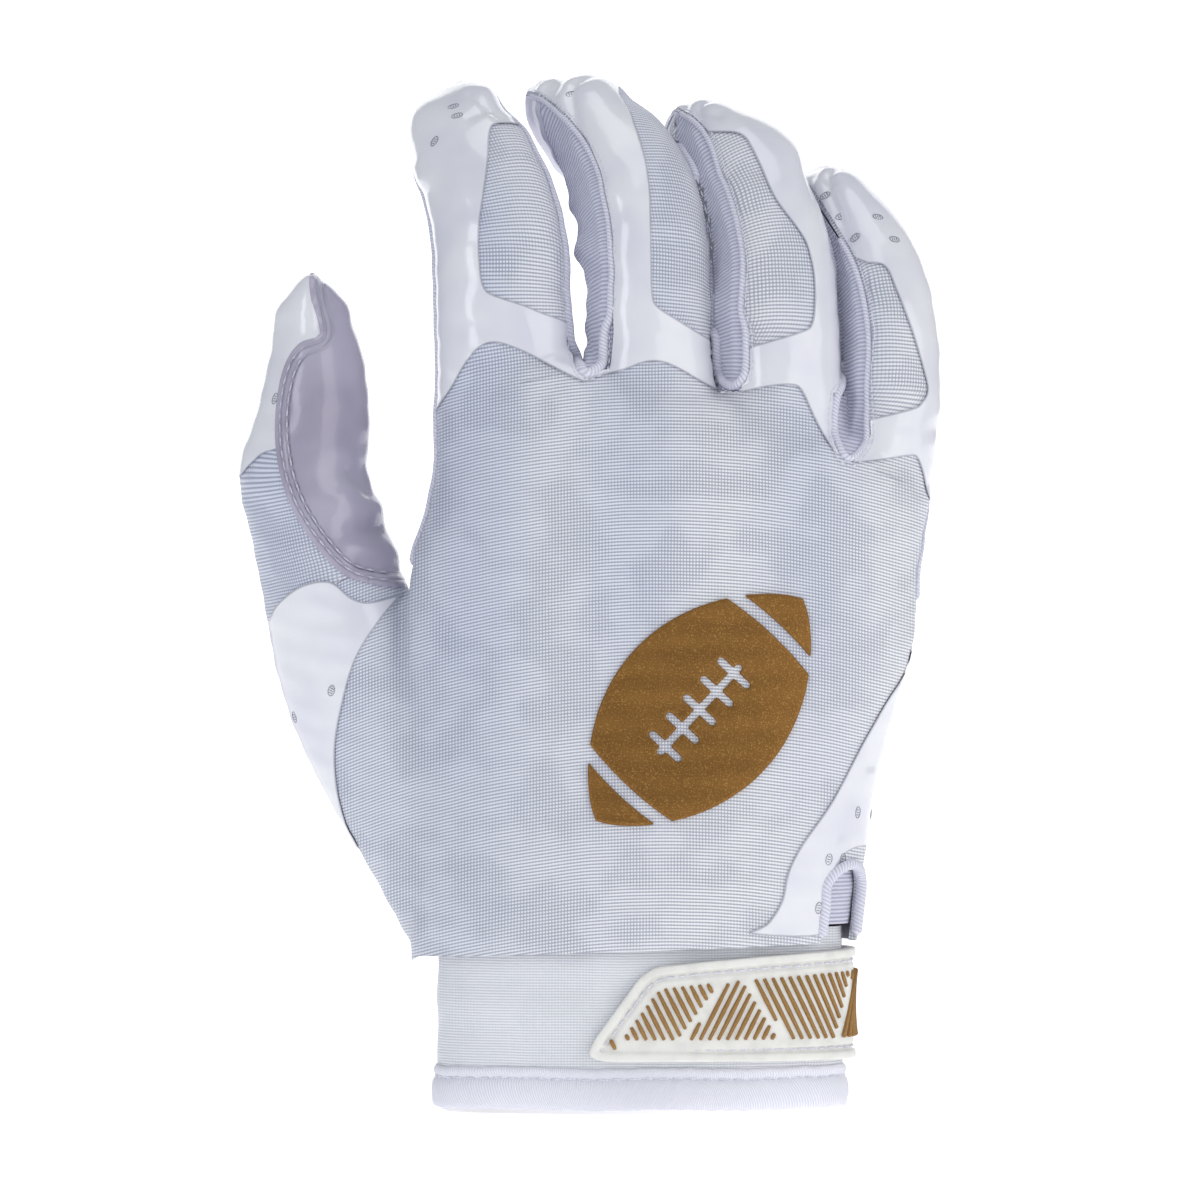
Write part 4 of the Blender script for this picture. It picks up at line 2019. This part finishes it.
@dataclass
class Emblem:
    """A raised gold ball shape with laces and end bands, laid aslant on the hand back."""

    form: GloveForm
    length: float = 60.0
    breadth: float = 35.0
    tilt: float = 47.0
    thickness: float = 0.75
    centre: Point = (0.120, 0.385)
    slot: float = 1.5
    lace_length: float = 24.0
    lace_height: float = 8.4
    stripe: float = 2.4
    stripe_reach: float = 18.5
    stripe_bow: float = 2.2
    fullness: float = 0.8
    sunk: float = 0.35
    voxel: float = 0.27

    def _bar(self, x: float, z: float, width: float, height: float) -> bpy.types.Object:
        """Returns a cutting bar with rounded ends."""
        half = min(width, height) / 2
        wide = width > height
        points = []
        for angle in np.linspace(0, 2 * math.pi, 24, endpoint=False):
            c, s = math.cos(angle), math.sin(angle)
            dx = math.copysign(width / 2 - half, c) if wide else 0.0
            dz = 0.0 if wide else math.copysign(height / 2 - half, s)
            points.append((x + dx + half * c, z + dz + half * s))
        return scratch(prism(points, -2.0, 3.0))

    def _band(self, side: int) -> bpy.types.Object:
        """Returns a cutting band that bows round an end of the ball."""
        rows = np.linspace(-1, 1, 17)
        inner = [(side * (self.stripe_reach + self.stripe_bow * (1 - r * r)), r * self.breadth / 2)
                 for r in rows]
        outer = [(x + side * self.stripe, z) for x, z in reversed(inner)]
        return scratch(prism(inner + outer, -2.0, 3.0))

    def build(self) -> None:
        """Hands in the emblem."""
        shares = np.linspace(-1, 1, 49)[:-1]
        half = [(t * self.length / 2, (1 - t * t) ** self.fullness * self.breadth / 2) for t in shares]
        ball = scratch(prism(half + [(-x, -z) for x, z in half], -self.sunk, self.thickness))
        tools = [self._bar(0.0, 0.0, self.lace_length, self.slot)]
        reach = (self.lace_length - self.lace_height / 2) / 2
        tools += [self._bar(share * reach, 0.0, self.slot, self.lace_height)
                  for share in (-1, -0.5, 0, 0.5, 1)]
        tools += [self._band(side) for side in (-1, 1)]
        for tool in tools:
            combine(ball, Cut.TAKE, tool)
        remesh(ball, self.voxel, 2)
        places = coords(ball.data)
        turn = math.radians(self.tilt)
        c, s = math.cos(turn), math.sin(turn)
        x0, z0 = placed([self.centre])[0]
        laid = np.array([self.form.front(x0 + x * c - z * s, z0 + x * s + z * c, h)[0]
                         for x, h, z in places])
        move(ball.data, laid)
        turn_outward(ball.data)
        set_uv(ball.data, "weave", WEAVE.of(coords(ball.data), normals(ball.data), ()))
        hand_in(ball, "hand_emblem_print", Finish.GOLD, ["hand_emblem"], 60.0)


@dataclass
class Perforations:
    """Small oval perforations with bars, in the films."""

    form: GloveForm
    half_length: float = 1.15
    half_height: float = 0.75
    line: float = 0.2
    corners: int = 12
    places: tuple[tuple[float, float, float], ...] = (
        (453, 105, 10), (457, 115, 10), (435, 141, 80), (571, 92, 25), (827, 194, 40), (842, 216, 30),
        (856, 238, 30), (878, 217, 20), (894, 240, 20), (276, 399, 70), (281, 706, 60), (295, 717, 80),
        (855, 811, 80), (869, 813, 80), (826, 857, 80), (840, 857, 80), (816, 905, 80),
    )

    def build(self) -> None:
        """Hands in the ovals and their bars."""
        bm = bmesh.new()
        for px, py, lean in self.places:
            x, z = photo(px, py)
            centre, up = self.form.front(x, z, FILM + 0.02)
            right = Vector((math.cos(math.radians(lean)), 0, math.sin(math.radians(lean))))
            right = (right - up * right.dot(up)).normalized()
            high = up.cross(right)
            turns = [2 * math.pi * k / self.corners for k in range(self.corners + 1)]
            oval = [centre + right * (self.half_length * math.cos(turn))
                    + high * (self.half_height * math.sin(turn)) for turn in turns]
            for start, end in zip(oval, oval[1:]):
                length = (end - start).length + 0.7 * self.line
                pill(bm, (start + end) / 2, end - start, up, length, self.line, self.line, 4)
            for offset in (-0.5, 0.0, 0.5):
                tall = 1.6 * self.half_height * math.sqrt(1 - (offset / self.half_length) ** 2)
                pill(bm, centre + right * offset, high, up, tall, self.line, self.line, 4)
        hand_in(scratch(bm), "film_perforations", Finish.MARK, sharp=80.0)


@dataclass
class Studio:
    """The pale floor and backdrop, soft lights and the camera at the photo's angle."""

    lens: float = 250.0
    sensor: float = 36.0
    view_width: float = 0.24
    aim: tuple[float, float, float] = (-0.008, 0.0, 0.101)
    half_floor: float = 3.0
    floor_front: float = -5.0
    floor_back: float = 3.5
    bend: float = 1.2
    wall: float = 2.5
    sky: float = 0.38
    glow: float = 0.9
    # Name, place, size, power and colour of each soft box
    boxes: tuple[tuple, ...] = (
        ("strip_left", (-0.95, -1.15, 0.80), (0.40, 1.2), 4.0, (0.93, 0.96, 1.0)),
        ("wide_right", (1.35, -1.0, 0.60), (1.5, 1.6), 10.0, (1.0, 0.98, 0.96)),
        ("top", (0.1, -0.1, 1.5), (0.9, 0.9), 3.3, (1.0, 1.0, 1.0)),
    )

    def _area(self, name: str, place: tuple, size: tuple, power: float, colour: tuple) -> None:
        """Adds a soft box that faces the glove."""
        data = bpy.data.lights.new(name, "AREA")
        data.shape = "RECTANGLE"
        data.size, data.size_y = size
        data.energy = power
        data.color = colour
        obj = bpy.data.objects.new(name, data)
        obj.location = place
        obj.rotation_euler = (Vector(self.aim) - Vector(place)).to_track_quat("-Z", "Y").to_euler()
        bpy.context.scene.collection.objects.link(obj)

    def _cove(self) -> None:
        """Adds the floor that curves up into the backdrop."""
        bm = bmesh.new()
        left = -self.half_floor
        verts = [bm.verts.new((left, y, -0.0008)) for y in (self.floor_front, self.floor_back)]
        bm.edges.new(verts)
        bmesh.ops.spin(bm, geom=[verts[1]], cent=(left, self.floor_back, self.bend), axis=(1, 0, 0),
                       angle=math.pi / 2, steps=24)
        top = max(bm.verts, key=lambda vert: vert.co.z)
        rise = bmesh.ops.extrude_vert_indiv(bm, verts=[top])["verts"]
        bmesh.ops.translate(bm, verts=rise, vec=(0, 0, self.wall))
        drawn = bmesh.ops.extrude_edge_only(bm, edges=bm.edges)["geom"]
        moved = [item for item in drawn if isinstance(item, bmesh.types.BMVert)]
        bmesh.ops.translate(bm, verts=moved, vec=(2 * self.half_floor, 0, 0))
        bmesh.ops.recalc_face_normals(bm, faces=bm.faces)
        floor = scratch(bm, "floor")
        for polygon in floor.data.polygons:
            polygon.use_smooth = True
        make = Maker("pale_floor")
        speck = make.noise(3.0)
        colour = make.mix(speck * 0.05, (0.93, 0.93, 0.94, 1.0), (0.88, 0.88, 0.90, 1.0))
        depth = make.node("ShaderNodeSeparateXYZ", values={0: make.place()}, out=1)
        glow = make.mix(depth.step(-0.6, -0.28), (0.10, 0.10, 0.11, 1.0), (0.56, 0.56, 0.56, 1.0))
        glow = make.mix(depth.step(0.1, 0.8), glow, (1.0, 1.0, 1.0, 1.0))
        values = {"Base Color": colour, "Roughness": 0.9,
                  "Emission Color": glow, "Emission Strength": self.glow}
        floor.data.materials.append(make.finish(values))

    def build(self) -> None:
        """Sets the stage, the lights and the camera."""
        self._cove()
        world = bpy.data.worlds.new("studio")
        world.use_nodes = True
        sky = world.node_tree.nodes["Background"].inputs
        sky["Color"].default_value = (0.88, 0.93, 1.0, 1.0)
        sky["Strength"].default_value = self.sky
        scene = bpy.context.scene
        scene.world = world
        for box in self.boxes:
            self._area(*box)
        data = bpy.data.cameras.new("camera")
        data.lens = self.lens
        data.sensor_width = self.sensor
        data.clip_end = 30.0
        camera = bpy.data.objects.new("camera", data)
        away = self.lens * self.view_width / self.sensor
        camera.location = (self.aim[0], -away, self.aim[2])
        camera.rotation_euler = (math.pi / 2, 0, 0)
        scene.collection.objects.link(camera)
        scene.camera = camera
        scene.view_settings.view_transform = "Standard"


def main() -> None:
    """Builds the glove's sub-assemblies in order."""
    logging.basicConfig(level=logging.INFO, format="%(message)s")
    form = GloveForm()
    Panels(form).build()
    Films(form).build()
    Pipings(form).build()
    ThumbStitches(form).build()
    Vent().build(form)
    Cuff().build()
    ClosureTab().build()
    Emblem(form).build()
    Perforations(form).build()
    drop(form.outer)
    Studio().build()


if __name__ == "__main__":
    main()
